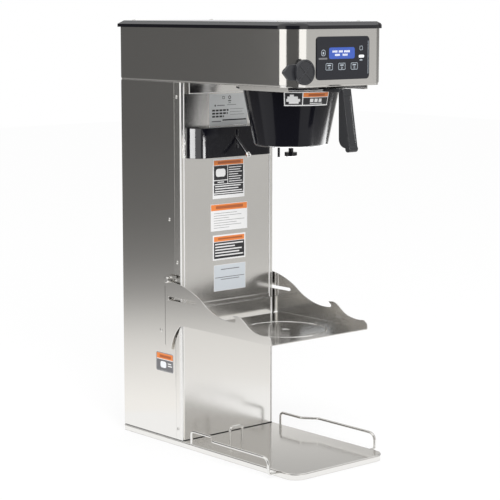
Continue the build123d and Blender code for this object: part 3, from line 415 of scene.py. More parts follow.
def card_material(name, stops, flat):
    """Stops are (height or distance in metres, level)."""
    material = empty_material(name)
    place = node(material, "ShaderNodeTexCoord")
    scaled = node(material, "ShaderNodeMapRange")
    scaled.inputs["From Max"].default_value = CARD_RADIUS
    if flat:
        reach = node(material, "ShaderNodeVectorMath", operation="LENGTH")
        link(place.outputs["Object"], reach.inputs[0])
        link(reach.outputs["Value"], scaled.inputs["Value"])
    else:
        split = node(material, "ShaderNodeSeparateXYZ")
        link(place.outputs["Object"], split.inputs["Vector"])
        link(split.outputs["Z"], scaled.inputs["Value"])
    ramp = node(material, "ShaderNodeValToRGB")
    while len(ramp.color_ramp.elements) < len(stops):
        ramp.color_ramp.elements.new(1.0)
    brightest = max(level for _, level in stops)
    for element, (reach, level) in zip(ramp.color_ramp.elements, stops):
        element.position = reach / CARD_RADIUS
        element.color = [level / brightest * part for part in WARM] + [1]
    glow = node(material, "ShaderNodeEmission", Strength=brightest)
    out = node(material, "ShaderNodeOutputMaterial")
    link(scaled.outputs["Result"], ramp.inputs["Fac"])
    link(ramp.outputs["Color"], glow.inputs["Color"])
    link(glow.outputs[0], out.inputs["Surface"])
    return material


def card(name, start, end, stops, radius=CARD_RADIUS, inner=None):
    """A tall strip between two angles, or with inner a flat one on the floor out from there."""
    corners = []
    for count in range(CARD_STEPS + 1):
        turn = math.radians(start + (end - start) * count / CARD_STEPS)
        x, y = -math.cos(turn), -math.sin(turn)
        if inner:
            corners += [(x * inner, y * inner, 0.0), (x * radius, y * radius, 0.0)]
        else:
            corners += [(x * radius, y * radius, 0.0), (x * radius, y * radius, CARD_HEIGHT)]
    faces = [(2 * i, 2 * i + 2, 2 * i + 3, 2 * i + 1) for i in range(CARD_STEPS)]
    made = flat_mesh(name, corners, faces)
    made.visible_camera = False
    made.visible_diffuse = False
    made.visible_shadow = False
    made.visible_transmission = False
    made.data.materials.append(card_material(name, stops, bool(inner)))


# %% [markdown]
# Angles are degrees round the part, from -X towards the front. The flat left side mirrors -49 to
# the camera and the flat front mirrors 131, so those two cards set the two main greys. The white
# strips between them light the head's round front corner, and the dark card splits its highlight.

# %% Cards
STRIP_RADIUS = 2.9
card("card_left", -100, -38, [(0.0, 0.20), (0.17, 0.14), (0.5, 0.105), (1.0, 0.10)])
card("strip_left", -38, 8, [(0.0, 0.65), (0.3, 0.85), (0.48, 1.1), (2.0, 1.1)], STRIP_RADIUS)
card("card_camera", 8, 74, [(0.0, 0.10), (1.0, 0.09)])
card("strip_front", 74, 114, [(0.0, 0.60), (0.25, 0.80), (0.45, 1.1), (2.0, 1.1)], STRIP_RADIUS)
card("card_front", 114, 160, [(0.0, 0.50), (0.25, 0.50), (0.45, 0.56), (1.2, 0.48)])
card("card_right", 160, 200, [(0.0, 0.5), (1.0, 0.2)])
card("card_back", 200, 260, [(0.0, 1.0), (0.62, 1.0), (0.85, 0.50), (1.5, 0.30)])
card("floor_left", -100, -34, [(0.6, 1.0), (1.4, 0.75), (2.2, 0.34), (2.9, 0.21)], inner=0.5)
card("floor_camera", 5, 74, [(0.6, 0.10), (2.9, 0.08)], inner=0.7)
card("floor_front", 114, 160, [(0.6, 0.9), (1.6, 0.75), (2.9, 0.48)], inner=0.5)

# %% [markdown]
# One soft lamp at the front left gives the matt pieces a lit and a shaded side, which an even room
# can't. A sun would do so too, but with hard shadows. Mirrors don't see the lamp, because the
# cards already make the highlights there.


# %% Key lamp
def area_lamp(name, place, towards, width, height, power, shape="RECTANGLE"):
    data = bpy.data.lights.new(name, "AREA")
    data.shape = shape
    data.size = width
    data.size_y = height
    data.energy = power
    made = put(name, data)
    made.location = place
    made.rotation_euler = Vector(towards).to_track_quat("-Z", "Y").to_euler()
    return made


KEY_PLACE = Vector((-1.6, -2.6, 2.6))
KEY_TARGET = Vector((0, 0, 0.5))
KEY_SIZE, KEY_POWER = 1.6, 60
key = area_lamp("key", KEY_PLACE, KEY_TARGET - KEY_PLACE, KEY_SIZE, KEY_SIZE, KEY_POWER, "DISK")
key.visible_glossy = False
print("key lamp", KEY_POWER, "W")

# %% [markdown]
# Glossy black plastic mirrors only a few percent of the light, so a soft box must be far brighter
# than a card to show in it, and such a box would burn out the steel. Light linking solves this:
# each box lights only the pieces in its own collection.

# %% Soft boxes for the black plastic
shroud_pieces = bpy.data.collections.new("shroud_pieces")
grip_pieces = bpy.data.collections.new("grip_pieces")
funnel_pieces = bpy.data.collections.new("funnel_pieces")
POWER_PER_AREA = 4
BOX_RADIUS, BOX_MIDDLE, BOX_HEIGHT = 2.7, 1.25, 2.3
UP = (0, 0, 1)


def soft_box(name, place, towards, width, height, level, receivers):
    made = area_lamp(name, place, towards, width, height, level * width * height * POWER_PER_AREA)
    made.visible_camera = False
    made.visible_diffuse = False
    made.light_linking.receiver_collection = receivers
    return made


def upright_box(name, start, end, level, receivers):
    """Stands on the floor between two of the cards' angles."""
    middle = math.radians((start + end) / 2)
    width = 2 * BOX_RADIUS * math.tan(math.radians(end - start) / 2)
    place = Vector((-math.cos(middle) * BOX_RADIUS, -math.sin(middle) * BOX_RADIUS, BOX_MIDDLE))
    soft_box(name, place, (-place.x, -place.y, 0), width, BOX_HEIGHT, level, receivers)


upright_box("box_left", -28, 26, 26, shroud_pieces)
upright_box("box_middle", 26, 80, 3, shroud_pieces)
upright_box("box_front", 96, 120, 26, shroud_pieces)
upright_box("grip_box_left", 14, 28, 12, grip_pieces)
upright_box("grip_box_front", 98, 110, 16, grip_pieces)

# %% [markdown]
# The funnel narrows downwards, so its sides mirror the floor and not the room. Its boxes therefore
# lie flat and shine up: a wide one on the floor to the right, and a small one just under it. An
# upright box would hardly show in such a slope.

# %% Soft boxes for the funnel
FLOOR_UNDER_FUNNEL = Vector((0, -0.13, 0.003))
WIDE_BOX, WIDE_LEVEL, WIDE_OUT, WIDE_AHEAD = (2.8, 3.0), 8.0, 1.45, 0.1
SMALL_BOX, SMALL_LEVEL, SMALL_PLACE = (0.30, 0.34), 12.0, (-0.02, -0.13, 0.44)
sideways = Vector((0.37, -0.93, 0)).normalized()
outwards = Vector((0.93, 0.37, 0)).normalized()
place = FLOOR_UNDER_FUNNEL + sideways * WIDE_AHEAD + outwards * WIDE_OUT
under_right = soft_box("box_under_right", place, UP, *WIDE_BOX, WIDE_LEVEL, funnel_pieces)
under_right.rotation_euler = (math.pi, 0, math.atan2(outwards.y, outwards.x))
soft_box("box_below", SMALL_PLACE, UP, *SMALL_BOX, SMALL_LEVEL, funnel_pieces)
print("lamps", len(bpy.data.lights))

# %% [markdown]
# Four solids change a little as they are dressed. A few millimetres don't matter for fit, but each
# turns a surface to another part of the room, which draws a bright or a dark line. They could be
# modelled again by hand, but moving the mesh's own points keeps the rest as it is. The head's
# front corners are round, so a point there moves in towards the corner's centre.

# %% Tools for the head's outline
HALF_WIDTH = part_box("head_hood")[1].x
HEAD_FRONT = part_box("head_hood")[0].y
HEAD_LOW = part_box("head_hood")[0].z
HEAD_CORNER = 42.5 * MM
TOUCH, NEAR = 0.1 * MM, 1 * MM


def move_in(vert, amount):
    """Moves a point of the head's outline in, square to it, round the front corners too."""
    across = max(abs(vert.co.x) - (HALF_WIDTH - HEAD_CORNER), 0)
    ahead = max(HEAD_FRONT + HEAD_CORNER - vert.co.y, 0)
    reach = math.hypot(across, ahead)
    if reach > 0:
        vert.co.x -= math.copysign(across / reach * amount, vert.co.x)
        vert.co.y += ahead / reach * amount


print("head half width", round(HALF_WIDTH, 4), "front", round(HEAD_FRONT, 4))

# %% [markdown]
# The hood's lower edge is folded back on itself, and a hem like that mirrors the floor as a thin
# bright line. A bevel would round it evenly. A line cut into the sheet a little higher up, with the
# lowest edge tucked in, gives the hem its slope. The funnel's left rail leans for the same reason.


# %% Hood hem and left rail
HEM_HEIGHT = 6.0 * MM
HEM_TUCK = 2.8 * MM
RAIL_LEAN = 2.6 * MM


def tuck_hem(shape):
    """Cuts a line round the hood and tucks the lower edge in, so the hem between them slopes."""
    bmesh.ops.bisect_plane(shape, geom=shape.verts[:] + shape.edges[:] + shape.faces[:],
                           plane_co=(0, 0, HEAD_LOW + HEM_HEIGHT), plane_no=UP)
    for vert in shape.verts:
        if vert.co.z < HEAD_LOW + TOUCH:
            move_in(vert, HEM_TUCK)
            vert.co.z -= TOUCH


def lean_rail(shape):
    """Leans the left rail's web in, so it mirrors the floor."""
    low = min(vert.co.z for vert in shape.verts)
    high = max(vert.co.z for vert in shape.verts)
    for vert in shape.verts:
        if vert.co.x < 0:
            vert.co.x += RAIL_LEAN * (high - vert.co.z) / (high - low)


# %% [markdown]
# The black trim round the head's top has a low slope, which catches the light as a grey band. The
# CAD trim has a steeper chamfer, so its upper outline moves in and the chamfer lies down.


# %% Trim slope
TRIM_SLOPE = 5.4 * MM


def lean_trim(shape):
    """Lays the trim's chamfer flatter, so it catches the light from above."""
    top = max(vert.co.z for vert in shape.verts) - TOUCH
    back = max(vert.co.y for vert in shape.verts if vert.co.z > top)
    outer = max(abs(vert.co.x) for vert in shape.verts if vert.co.z > top)
    for vert in shape.verts:
        across = max(abs(vert.co.x) - (outer - HEAD_CORNER), 0)
        ahead = max(HEAD_FRONT + HEAD_CORNER - vert.co.y, 0)
        behind = vert.co.y > back - NEAR
        if vert.co.z > top and (behind or math.hypot(across, ahead) > HEAD_CORNER - NEAR):
            move_in(vert, TRIM_SLOPE)
            if behind:
                vert.co.y -= TRIM_SLOPE


# %% [markdown]
# The moulded grip of the funnel has well rounded upright edges. The bevel that every piece gets is
# set by one width, and these edges need five times as much, so they are rounded first.


# %% Grip edges
GRIP_BACK = -290 * MM
GRIP_EDGE_LENGTH = 60 * MM
GRIP_ROUND = 3.2 * MM


def round_grip(shape):
    """Rounds the grip's four long upright edges, which show as bright lines."""
    outer = max(abs(vert.co.x) for vert in shape.verts if vert.co.y < GRIP_BACK)
    edges = [edge for edge in shape.edges if edge.calc_length() > GRIP_EDGE_LENGTH
             and all(abs(abs(vert.co.x) - outer) < TOUCH for vert in edge.verts)]
    print("grip edges", len(edges))
    bmesh.ops.bevel(shape, geom=edges, offset=GRIP_ROUND, segments=5, affect="EDGES", profile=0.5)


# %% [markdown]
# Each piece that shows is dressed: its name, its material and the width of its rounds in
# millimetres. The moulded funnel has the widest, and printed film nearly none. Five black pieces
# also join the collection that their soft boxes light.

# %% Dressed pieces
changes = {"head_hood": tuck_hem, "top_trim": lean_trim, "funnel_handle": round_grip,
           "funnel_rails": lean_rail}
receivers_of = {"dilution_shroud": shroud_pieces, "dilution_nozzle": shroud_pieces,
                "funnel_handle": grip_pieces, "funnel_bowl": funnel_pieces,
                "drip_spout": funnel_pieces}
for name, material, width in [
    ("base_pan", steel_flat, 1.2), ("trunk_housing", steel_upright, 0.8),
    ("upper_front_cover", steel_front, 1.0), ("lower_front_cover", steel_front, 1.0),
    ("head_hood", steel_across, 0.4), ("head_back_panel", steel_across, 0.4),
    ("head_floor", steel_across, 0.3), ("flip_tray", steel_tray, 0.4),
    ("funnel_rails", steel_across, 0.3), ("left_wire_guide", bright_steel, 0.2),
    ("right_wire_guide", bright_steel, 0.2), ("rear_wire_stop", bright_steel, 0.2),
    ("hook_studs", bright_steel, 0.5), ("guide_pins", bright_steel, 0.3),
    ("top_lid", grey_plastic, 0.6), ("top_trim", black_trim, 0.3),
    ("pointer_knob", black_satin, 1.0), ("knob_cap", black_satin, 1.0),
    ("funnel_bowl", funnel_black, 1.8), ("funnel_handle", black_grip, 0.6),
    ("drip_spout", black_gloss, 0.5), ("dilution_shroud", funnel_black, 0.6),
    ("dilution_nozzle", black_gloss, 0.4), ("nozzle_tip", bright_steel, 0.8),
    ("control_overlay", panel_black, 0.2), ("display_window", display_blue, 0.1),
    ("button_left", button_black, 0.2), ("button_middle", button_black, 0.2),
    ("button_right", button_black, 0.2), ("rubber_feet", rubber, 0.8),
    ("data_plate", plate_silver, 0.1), ("front_labels", label_white, 0.1),
    ("side_label", label_white, 0.1), ("funnel_label", label_white, 0.1),
    ("cross_channel", steel_across, 0.3),
]:
    piece = dress(name, material, width * MM, changes.get(name))
    if name in receivers_of:
        receivers_of[name].objects.link(piece)

# %% [markdown]
# Geometry Nodes make what repeats or follows a path. A tree is built once with named inputs, and
# each modifier gives it sizes. It ends in Realize Instances and Set Material, and its result is
# turned into plain mesh, because copies that are only drawn would be lost in an export.


# %% Tree tools
FLOAT = "NodeSocketFloat"
MATERIAL = "NodeSocketMaterial"


def new_tree(name, *inputs):
    tree = bpy.data.node_groups.new(name, "GeometryNodeTree")
    tree.interface.new_socket("Geometry", in_out="INPUT", socket_type="NodeSocketGeometry")
    tree.interface.new_socket("Geometry", in_out="OUTPUT", socket_type="NodeSocketGeometry")
    for label, kind in inputs:
        tree.interface.new_socket(label, in_out="INPUT", socket_type=kind)
    return tree


def close_tree(tree, start, last):
    """Ends the tree in Realize Instances and Set Material."""
    realized = add(tree.nodes, "GeometryNodeRealizeInstances")
    painted = add(tree.nodes, "GeometryNodeSetMaterial")
    end = add(tree.nodes, "NodeGroupOutput")
    link(last, realized.inputs[0])
    link(realized.outputs[0], painted.inputs["Geometry"])
    link(start.outputs["Material"], painted.inputs["Material"])
    link(painted.outputs[0], end.inputs[0])


def grow(name, mesh, tree, body, **sizes):
    """Runs the tree on the mesh and leaves a plain mesh that rides on the body."""
    piece = put(name, mesh)
    growing = piece.modifiers.new("grow", "NODES")
    growing.node_group = tree
    for item in tree.interface.items_tree:
        if item.in_out == "INPUT" and item.name in sizes:
            growing[item.identifier] = sizes[item.name]
    settle(piece)
    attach(piece, body)
    print(name, len(piece.data.polygons), "faces")
    return piece


# %% [markdown]
# The screws are domed heads with a cross slot. A squashed sphere makes the dome, and two bars cut
# the cross from it. One head is copied to every point and turned along the point's aim. Heads
# made by hand would look the same, but a new size would mean an edit of every one.

# %% Screw head
SLOT_OVERSHOOT = 1.2
screw_tree = new_tree("screws", ("Radius", FLOAT), ("Height", FLOAT), ("Slot", FLOAT),
                      ("Material", MATERIAL))
nodes = screw_tree.nodes
start = add(nodes, "NodeGroupInput")
dome = add(nodes, "GeometryNodeMeshUVSphere", Segments=32, Rings=16, Radius=1.0)
size = add(nodes, "ShaderNodeCombineXYZ")
for axis, source in (("X", "Radius"), ("Y", "Radius"), ("Z", "Height")):
    link(start.outputs[source], size.inputs[axis])
sized = add(nodes, "GeometryNodeTransform")
link(dome.outputs["Mesh"], sized.inputs["Geometry"])
link(size.outputs[0], sized.inputs["Scale"])
cut = add(nodes, "GeometryNodeMeshBoolean", operation="DIFFERENCE")
link(sized.outputs[0], cut.inputs["Mesh 1"])
bar_length = add(nodes, "ShaderNodeMath", operation="MULTIPLY")
bar_length.inputs[1].default_value = SLOT_OVERSHOOT
link(start.outputs["Radius"], bar_length.inputs[0])
raise_by = add(nodes, "ShaderNodeCombineXYZ")
link(start.outputs["Height"], raise_by.inputs["Z"])
for long_axis, thin_axis in (("X", "Y"), ("Y", "X")):
    bar_size = add(nodes, "ShaderNodeCombineXYZ")
    link(bar_length.outputs[0], bar_size.inputs[long_axis])
    link(start.outputs["Slot"], bar_size.inputs[thin_axis])
    link(start.outputs["Height"], bar_size.inputs["Z"])
    bar = add(nodes, "GeometryNodeMeshCube")
    link(bar_size.outputs[0], bar.inputs["Size"])
    lifted = add(nodes, "GeometryNodeTransform")
    link(bar.outputs["Mesh"], lifted.inputs["Geometry"])
    link(raise_by.outputs[0], lifted.inputs["Translation"])
    link(lifted.outputs[0], cut.inputs["Mesh 2"])

# %% [markdown]
# Copies of the head now go to the points that the modifier's own mesh has. A turn could be stored
# with each point, but a direction is easier to read: `aim` says where the screw's dome points, and
# Align Rotation to Vector makes the turn.

# %% Copies of the screw head
aim = add(nodes, "GeometryNodeInputNamedAttribute", data_type="FLOAT_VECTOR")
aim.inputs["Name"].default_value = "aim"
turn = add(nodes, "FunctionNodeAlignRotationToVector", axis="Z")
link(aim.outputs["Attribute"], turn.inputs["Vector"])
copies = add(nodes, "GeometryNodeInstanceOnPoints")
link(start.outputs["Geometry"], copies.inputs["Points"])
link(cut.outputs["Mesh"], copies.inputs["Instance"])
link(turn.outputs[0], copies.inputs["Rotation"])
close_tree(screw_tree, start, copies.outputs[0])
print("screw tree", len(nodes), "nodes")

# %% [markdown]
# The screws sit where the CAD model has plain discs. Their places could be typed in again, but
# they are read from the discs, so the two can't drift apart. A node is one mesh of many solids, so
# `islands` walks from point to point along the edges to tell the solids apart.


# %% Places on the solids
def islands(name):
    """Low and high corners of each solid of a node, from the lowest up."""
    shape = bmesh.new()
    shape.from_mesh(frame["nodes"][name].data)
    bmesh.ops.remove_doubles(shape, verts=shape.verts, dist=SAME_POINT)
    visited = set()
    found = []
    for first in shape.verts:
        if first in visited:
            continue
        group, queue = [], [first]
        visited.add(first)
        while queue:
            vert = queue.pop()
            group.append(vert.co.copy())
            for edge in vert.link_edges:
                other = edge.other_vert(vert)
                if other not in visited:
                    visited.add(other)
                    queue.append(other)
        low = Vector([min(co[i] for co in group) for i in range(3)])
        high = Vector([max(co[i] for co in group) for i in range(3)])
        found.append((low, high))
    shape.free()
    return sorted(found, key=lambda pair: pair[0].z)


# %% [markdown]
# Screws hold the trunk's casing from both sides, and the lid from above. One mesh of points could
# hold them all, but two let each set stand for its own CAD node.

# %% Screws
SCREW_RADIUS, SCREW_SLOT = 4.0 * MM, 0.9 * MM
SCREW_SHARP = math.radians(35)


def add_screws(name, screws, height):
    """Lays a screw head at each (place, aim)."""
    mesh = plain_mesh(name, [place for place, _ in screws])
    field = mesh.attributes.new("aim", "FLOAT_VECTOR", "POINT")
    field.data.foreach_set("vector", [part for _, aim in screws for part in aim])
    piece = grow(name, mesh, screw_tree, "machine", Radius=SCREW_RADIUS, Height=height,
                 Slot=SCREW_SLOT, Material=bright_steel)
    piece.data.set_sharp_from_angle(angle=SCREW_SHARP)
    return piece


side_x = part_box("trunk_housing")[1].x
places = []
for low, high in islands("casing_screws"):
    side = 1 if high.x > 0 else -1
    middle = (low + high) / 2
    places.append(((side * side_x, middle.y, middle.z), (side, 0, 0)))
screws = add_screws("side_screws", places, 2.1 * MM)
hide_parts("casing_screws")
places = []
for low, high in islands("lid_screws"):
    middle = (low + high) / 2
    places.append(((middle.x, middle.y, low.z), UP))
screws = add_screws("top_screws", places, 1.9 * MM)
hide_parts("lid_screws")

# %% [markdown]
# Folded sheet edges show as fine bright lines, beside the front covers and round the cross
# channel. A bevel on the sheet is too narrow to show from here, so a thin round bead lies along
# each fold, and its pale finish paints the bright line on: a painted highlight that stays bright
# from every side. One tree runs a round section along any path.

# %% Bead tree
bead_tree = new_tree("beads", ("Radius", FLOAT), ("Sides", "NodeSocketInt"),
                     ("Material", MATERIAL))
nodes = bead_tree.nodes
start = add(nodes, "NodeGroupInput")
path = add(nodes, "GeometryNodeMeshToCurve")
section = add(nodes, "GeometryNodeCurvePrimitiveCircle")
swept = add(nodes, "GeometryNodeCurveToMesh")
swept.inputs["Fill Caps"].default_value = True
smooth = add(nodes, "GeometryNodeSetShadeSmooth")
link(start.outputs["Geometry"], path.inputs["Mesh"])
link(start.outputs["Radius"], section.inputs["Radius"])
link(start.outputs["Sides"], section.inputs["Resolution"])
link(path.outputs[0], swept.inputs["Curve"])
link(section.outputs[0], swept.inputs["Profile Curve"])
link(swept.outputs[0], smooth.inputs[0])
close_tree(bead_tree, start, smooth.outputs[0])


def add_beads(name, lines, radius, sides, material):
    """Lays a bead along each line of points."""
    corners, edges = [], []
    for line in lines:
        first = len(corners)
        corners += line
        edges += [(first + i, first + i + 1) for i in range(len(line) - 1)]
    grow(name, plain_mesh(name, corners, edges), bead_tree, "machine", Radius=radius * MM,
         Sides=sides, Material=material)


print("bead tree", len(nodes), "nodes")

# %% [markdown]
# The upper front cover lies between two upright folds, and outside them the trunk turns its
# corners. Bevels this wide would eat up the sheet's own narrow edges, so pale beads are laid over
# them as painted highlights.
# Where a bead starts and ends is read from the covers' boxes.

# %% Painted highlights on the folds beside the covers
COVER_FOLD_X, COVER_FOLD_DEPTH, COVER_FOLD_INSET = 126.6 * MM, 0.9 * MM, 1 * MM
CORNER_SETBACK, CORNER_FOLD_INSET = 2.0 * MM, 0.3 * MM
cover_low, cover_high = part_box("upper_front_cover")
lower_low, lower_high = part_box("lower_front_cover")
lines, corner_lines = [], []
for side in (-1, 1):
    x, y = side * COVER_FOLD_X, cover_low.y + COVER_FOLD_DEPTH
    lines.append([(x, y, cover_low.z + COVER_FOLD_INSET), (x, y, cover_high.z - COVER_FOLD_INSET)])
    x, y = side * (HALF_WIDTH - CORNER_SETBACK), cover_low.y + CORNER_SETBACK
    for low_z, high_z in ((cover_low.z, cover_high.z), (lower_low.z, lower_high.z)):
        corner_lines.append([(x, y, low_z + CORNER_FOLD_INSET),
                             (x, y, high_z - CORNER_FOLD_INSET)])
add_beads("panel_fold_highlights", lines, 2.0, 20, pale_rail)
add_beads("corner_fold_highlights", corner_lines, 2.15, 20, pale_rail)

# %% [markdown]
# The cross channel under the head is a trough of folded sheet, and its front face has a fold at
# each side and one below. A pale bead paints the highlight on these folds. Three beads would leave
# gaps where they meet. One path that runs down, across and up again turns the corners without a
# gap.

# %% Painted highlights round the cross channel
CHANNEL_X, CHANNEL_INSET, CHANNEL_TOP = 116.3 * MM, 0.6 * MM, 1 * MM
channel_low, channel_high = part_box("cross_channel")
y, foot = channel_low.y + CHANNEL_INSET, channel_low.z + CHANNEL_INSET
top = channel_high.z - CHANNEL_TOP
lines = [[(-CHANNEL_X, y, top), (-CHANNEL_X, y, foot), (CHANNEL_X, y, foot), (CHANNEL_X, y, top)]]
add_beads("channel_fold_highlights", lines, 1.2, 12, pale_rail)

# %% [markdown]
# A dark bead in the rubber finish stands behind each side plate of the tray, along its rear edge.
# It is painted shade for the dark gap between the plate and the trunk. A flat dark line would do
# from afar, but a bead also shows from the side, and the same tree makes it.

# %% Painted shade behind the tray plates
GAP_SHADE_Y, GAP_SHADE_LOW, GAP_SHADE_HIGH = 136.6 * MM, 228 * MM, 363 * MM
lines = [[(side * HALF_WIDTH, GAP_SHADE_Y, GAP_SHADE_LOW), (side * HALF_WIDTH, GAP_SHADE_Y, GAP_SHADE_HIGH)]
         for side in (-1, 1)]
add_beads("tray_gap_shade", lines, 1.1, 12, rubber)

# %% [markdown]
# A dark seal runs round the foot of the trunk, where it sits on the base, and hides the joint. Its
# path is one half of the outline and the same half mirrored, so both sides stay alike.

# %% Base seam
SEAM_X, SEAM_FRONT, SEAM_BACK, SEAM_Z = 136.1 * MM, 79.5 * MM, 290 * MM, 15.8 * MM
SEAM_CORNER_X, SEAM_CORNER_Y = 2.1 * MM, 2.5 * MM
seam = [(-SEAM_X, SEAM_BACK), (-SEAM_X, SEAM_FRONT + SEAM_CORNER_Y),
        (SEAM_CORNER_X - SEAM_X, SEAM_FRONT)]
seam += [(-x, y) for x, y in reversed(seam)]
add_beads("base_seam", [[(x, y, SEAM_Z) for x, y in seam]], 0.9, 12, rubber)

# %% [markdown]
# The nozzle comes through a slot in the black shroud. Without its two soft lips the slot would be a
# black hole. A lip is one small outline stretched upright, which is quicker as plain mesh.

# %% Slot lips
SLOT_HALF, SLOT_LOW, SLOT_HIGH = 4.95 * MM, 670.3 * MM, 711.1 * MM
LIP_OUTER, LIP_TIP = 2.6 * MM, 0.1 * MM
LIP_ROUND = 0.2 * MM
lip_outline = [(SLOT_HALF, 0.1), (LIP_OUTER, 0.5), (LIP_TIP, 1.5), (LIP_TIP, 2.2),
               (LIP_OUTER, 1.4), (SLOT_HALF, 1.0)]
shroud_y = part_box("dilution_shroud")[0].y
shape = bmesh.new()
for side in (-1, 1):
    rings = [[shape.verts.new((side * x, shroud_y + depth * MM, z)) for x, depth in lip_outline]
             for z in (SLOT_LOW, SLOT_HIGH)]
    for i in range(len(lip_outline)):
        j = (i + 1) % len(lip_outline)
        shape.faces.new((rings[0][i], rings[0][j], rings[1][j], rings[1][i]))
    shape.faces.new(rings[0])
    shape.faces.new(rings[1])
bmesh.ops.recalc_face_normals(shape, faces=shape.faces)
lips = as_piece("slot_lips", shape, [black_gloss], "machine")
soften(lips, LIP_ROUND)
print("lips", len(lips.data.polygons), "faces")

# %% [markdown]
# Labels, the data plate and the keys carry print. An image would need words, and it blurs close
# up. Plain bars and frames, drawn as thin faces just in front of the sheet, give the same tone and
# stay sharp. Each ink is a matt finish of its own.

# %% Inks
INK_ROUGHNESS, INK_PITCH, INK_SPREAD = 0.45, 1200, 0.03


def ink(name, colour):
    return moulded(name, colour, INK_ROUGHNESS, INK_PITCH, 0.0, INK_SPREAD)


ink_orange = ink("ink_orange", (0.80, 0.22, 0.035))
ink_black = ink("ink_black", (0.020, 0.020, 0.024))
ink_grey = ink("ink_grey", (0.16, 0.16, 0.17))
ink_pale = ink("ink_pale", (0.78, 0.78, 0.78))
ink_panel = ink("ink_panel", (0.42, 0.47, 0.52))
ink_white = ink("ink_white", (0.85, 0.87, 0.90))
ink_rust = ink("ink_rust", (0.42, 0.10, 0.02))
ink_mist = ink("ink_mist", (0.60, 0.64, 0.68))
INKS = [ink_orange, ink_black, ink_grey, ink_pale, ink_panel, ink_white, ink_rust, ink_mist]
print("inks", len(INKS))

# %% [markdown]
# A Print draws on one sheet, whichever way the sheet faces. It could be drawn flat and then turned
# into place, but a label on a cone has to bend too. So each Print has a rule that turns right, up
# and lift into a place, and every bar goes through it. Where two inks overlap, the upper one has
# more lift.


# %% Printing tools
PRINT_LIFT = 0.05 * MM
ARC_STEPS = 6
CORNERS = [(1, 1), (-1, 1), (-1, -1), (1, -1)]


class Print:
    """Thin faces on a sheet. place(u, v, lift) gives the point u right and v up, in metres."""

    def __init__(self, name, body, place, width=1, height=1):
        self.name, self.body, self.place = name, body, place
        self.width, self.height = width, height
        self.shape = bmesh.new()

    def points(self, spots, layer):
        return [self.shape.verts.new(self.place(u, v, PRINT_LIFT * layer)) for u, v in spots]

    def face(self, corners, material):
        self.shape.faces.new(corners).material_index = INKS.index(material)

    def grid(self, u0, u1, v0, v1, material, columns=1, layer=1):
        """A bar, which a round sheet needs in columns."""
        across = [u0 + (u1 - u0) * step / columns for step in range(columns + 1)]
        low, high = [self.points([(u, v) for u in across], layer) for v in (v0, v1)]
        for i in range(columns):
            self.face((low[i], low[i + 1], high[i + 1], high[i]), material)

    def bars(self, rows, **more):
        """Bars given as shares of the sheet: left, right, bottom, top and ink."""
        for left, right, bottom, top, material in rows:
            self.grid(left * self.width, right * self.width, bottom * self.height,
                      top * self.height, material, **more)

    def text(self, u0, u1, v0, v1, lines, material, layer=2, fill=0.45,
             ends=(1.0, 0.86, 0.95, 0.7)):
        """Rows of bars where a real label has its lines."""
        pitch = (v1 - v0) / lines
        for line in range(lines):
            low = v0 + pitch * (line + (1 - fill) / 2)
            reach = (u1 - u0) * ends[line % len(ends)]
            self.grid(u0, u0 + reach, low, low + pitch * fill, material, layer=layer)

    def outline(self, u, v, width, height, radius, line, material, layer=1):
        """A rounded frame round (u, v), or a filled shape if line is 0."""
        loops = []
        for inset in (0.0, line) if line else (0.0,):
            reach = max(radius - inset, 0.0)
            spots = []
            for corner, (su, sv) in enumerate(CORNERS):
                for step in range(ARC_STEPS + 1):
                    turn = math.radians(90 * (corner + step / ARC_STEPS))
                    spots.append((u + su * (width / 2 - radius) + reach * math.cos(turn),
                                  v + sv * (height / 2 - radius) + reach * math.sin(turn)))
            loops.append(self.points(spots, layer))
        if not line:
            self.face(loops[0], material)
            return
        outer, inner = loops
        for i in range(len(outer)):
            j = (i + 1) % len(outer)
            self.face((outer[i], outer[j], inner[j], inner[i]), material)

    def done(self):
        """Makes the piece and drops the inks that it doesn't use."""
        piece = as_piece(self.name, self.shape, INKS, self.body)
        for index in reversed(range(len(INKS))):
            if not any(face.material_index == index for face in piece.data.polygons):
                piece.data.materials.pop(index=index)
        print(self.name, len(piece.data.polygons), "faces")


def facing_front(x, y, z):
    return lambda u, v, lift: (x + u, y - lift, z + v)


def facing_left(x, y, z):
    """Right of someone who looks at the left side is towards the front."""
    return lambda u, v, lift: (x - lift, y - u, z + v)


# %% [markdown]
# Four labels run up the front covers. Their sheets are CAD solids, so only the print is added,
# measured from each sheet's corner. The lowest is pale with three thin rules.

# %% Lowest front label
EDGE, RIM, GAP = 3.5 * MM, 0.8 * MM, 1.2 * MM
sheets = [Print(f"label_print_{index}", "machine", facing_front(low.x, low.y, low.z),
                high.x - low.x, high.z - low.z)
          for index, (low, high) in enumerate(islands("front_labels"))]
sheet = sheets[0]
sheet.grid(RIM, sheet.width - RIM, RIM, sheet.height - RIM, ink_mist)
sheet.bars([(0.22, 0.80, 0.80, 0.83, ink_grey), (0.04, 0.96, 0.50, 0.525, ink_grey),
            (0.22, 0.80, 0.42, 0.445, ink_grey)], layer=2)
sheet.done()

# %% [markdown]
# The second label has an orange title band and a black box of pale text, inside a white edge. The
# edge is just the sheet, left bare, which is simpler than a white frame.

# %% Second front label
sheet = sheets[1]
width, height, band = sheet.width, sheet.height, 0.74 * sheet.height
sheet.grid(EDGE, width - EDGE, band, height - EDGE, ink_orange)
sheet.grid(0.16 * width, 0.90 * width, 0.81 * height, 0.94 * height - EDGE, ink_rust, layer=2)
sheet.grid(EDGE, width - EDGE, EDGE, band - GAP, ink_black)
sheet.text(2 * EDGE, width - 2 * EDGE, 2 * EDGE, band - 3 * MM, 5, ink_pale)
sheet.done()

# %% [markdown]
# The third label has the same band and small dark text straight on the white sheet. Its lines are
# thin, far apart and of unlike lengths, so that they read as a list.

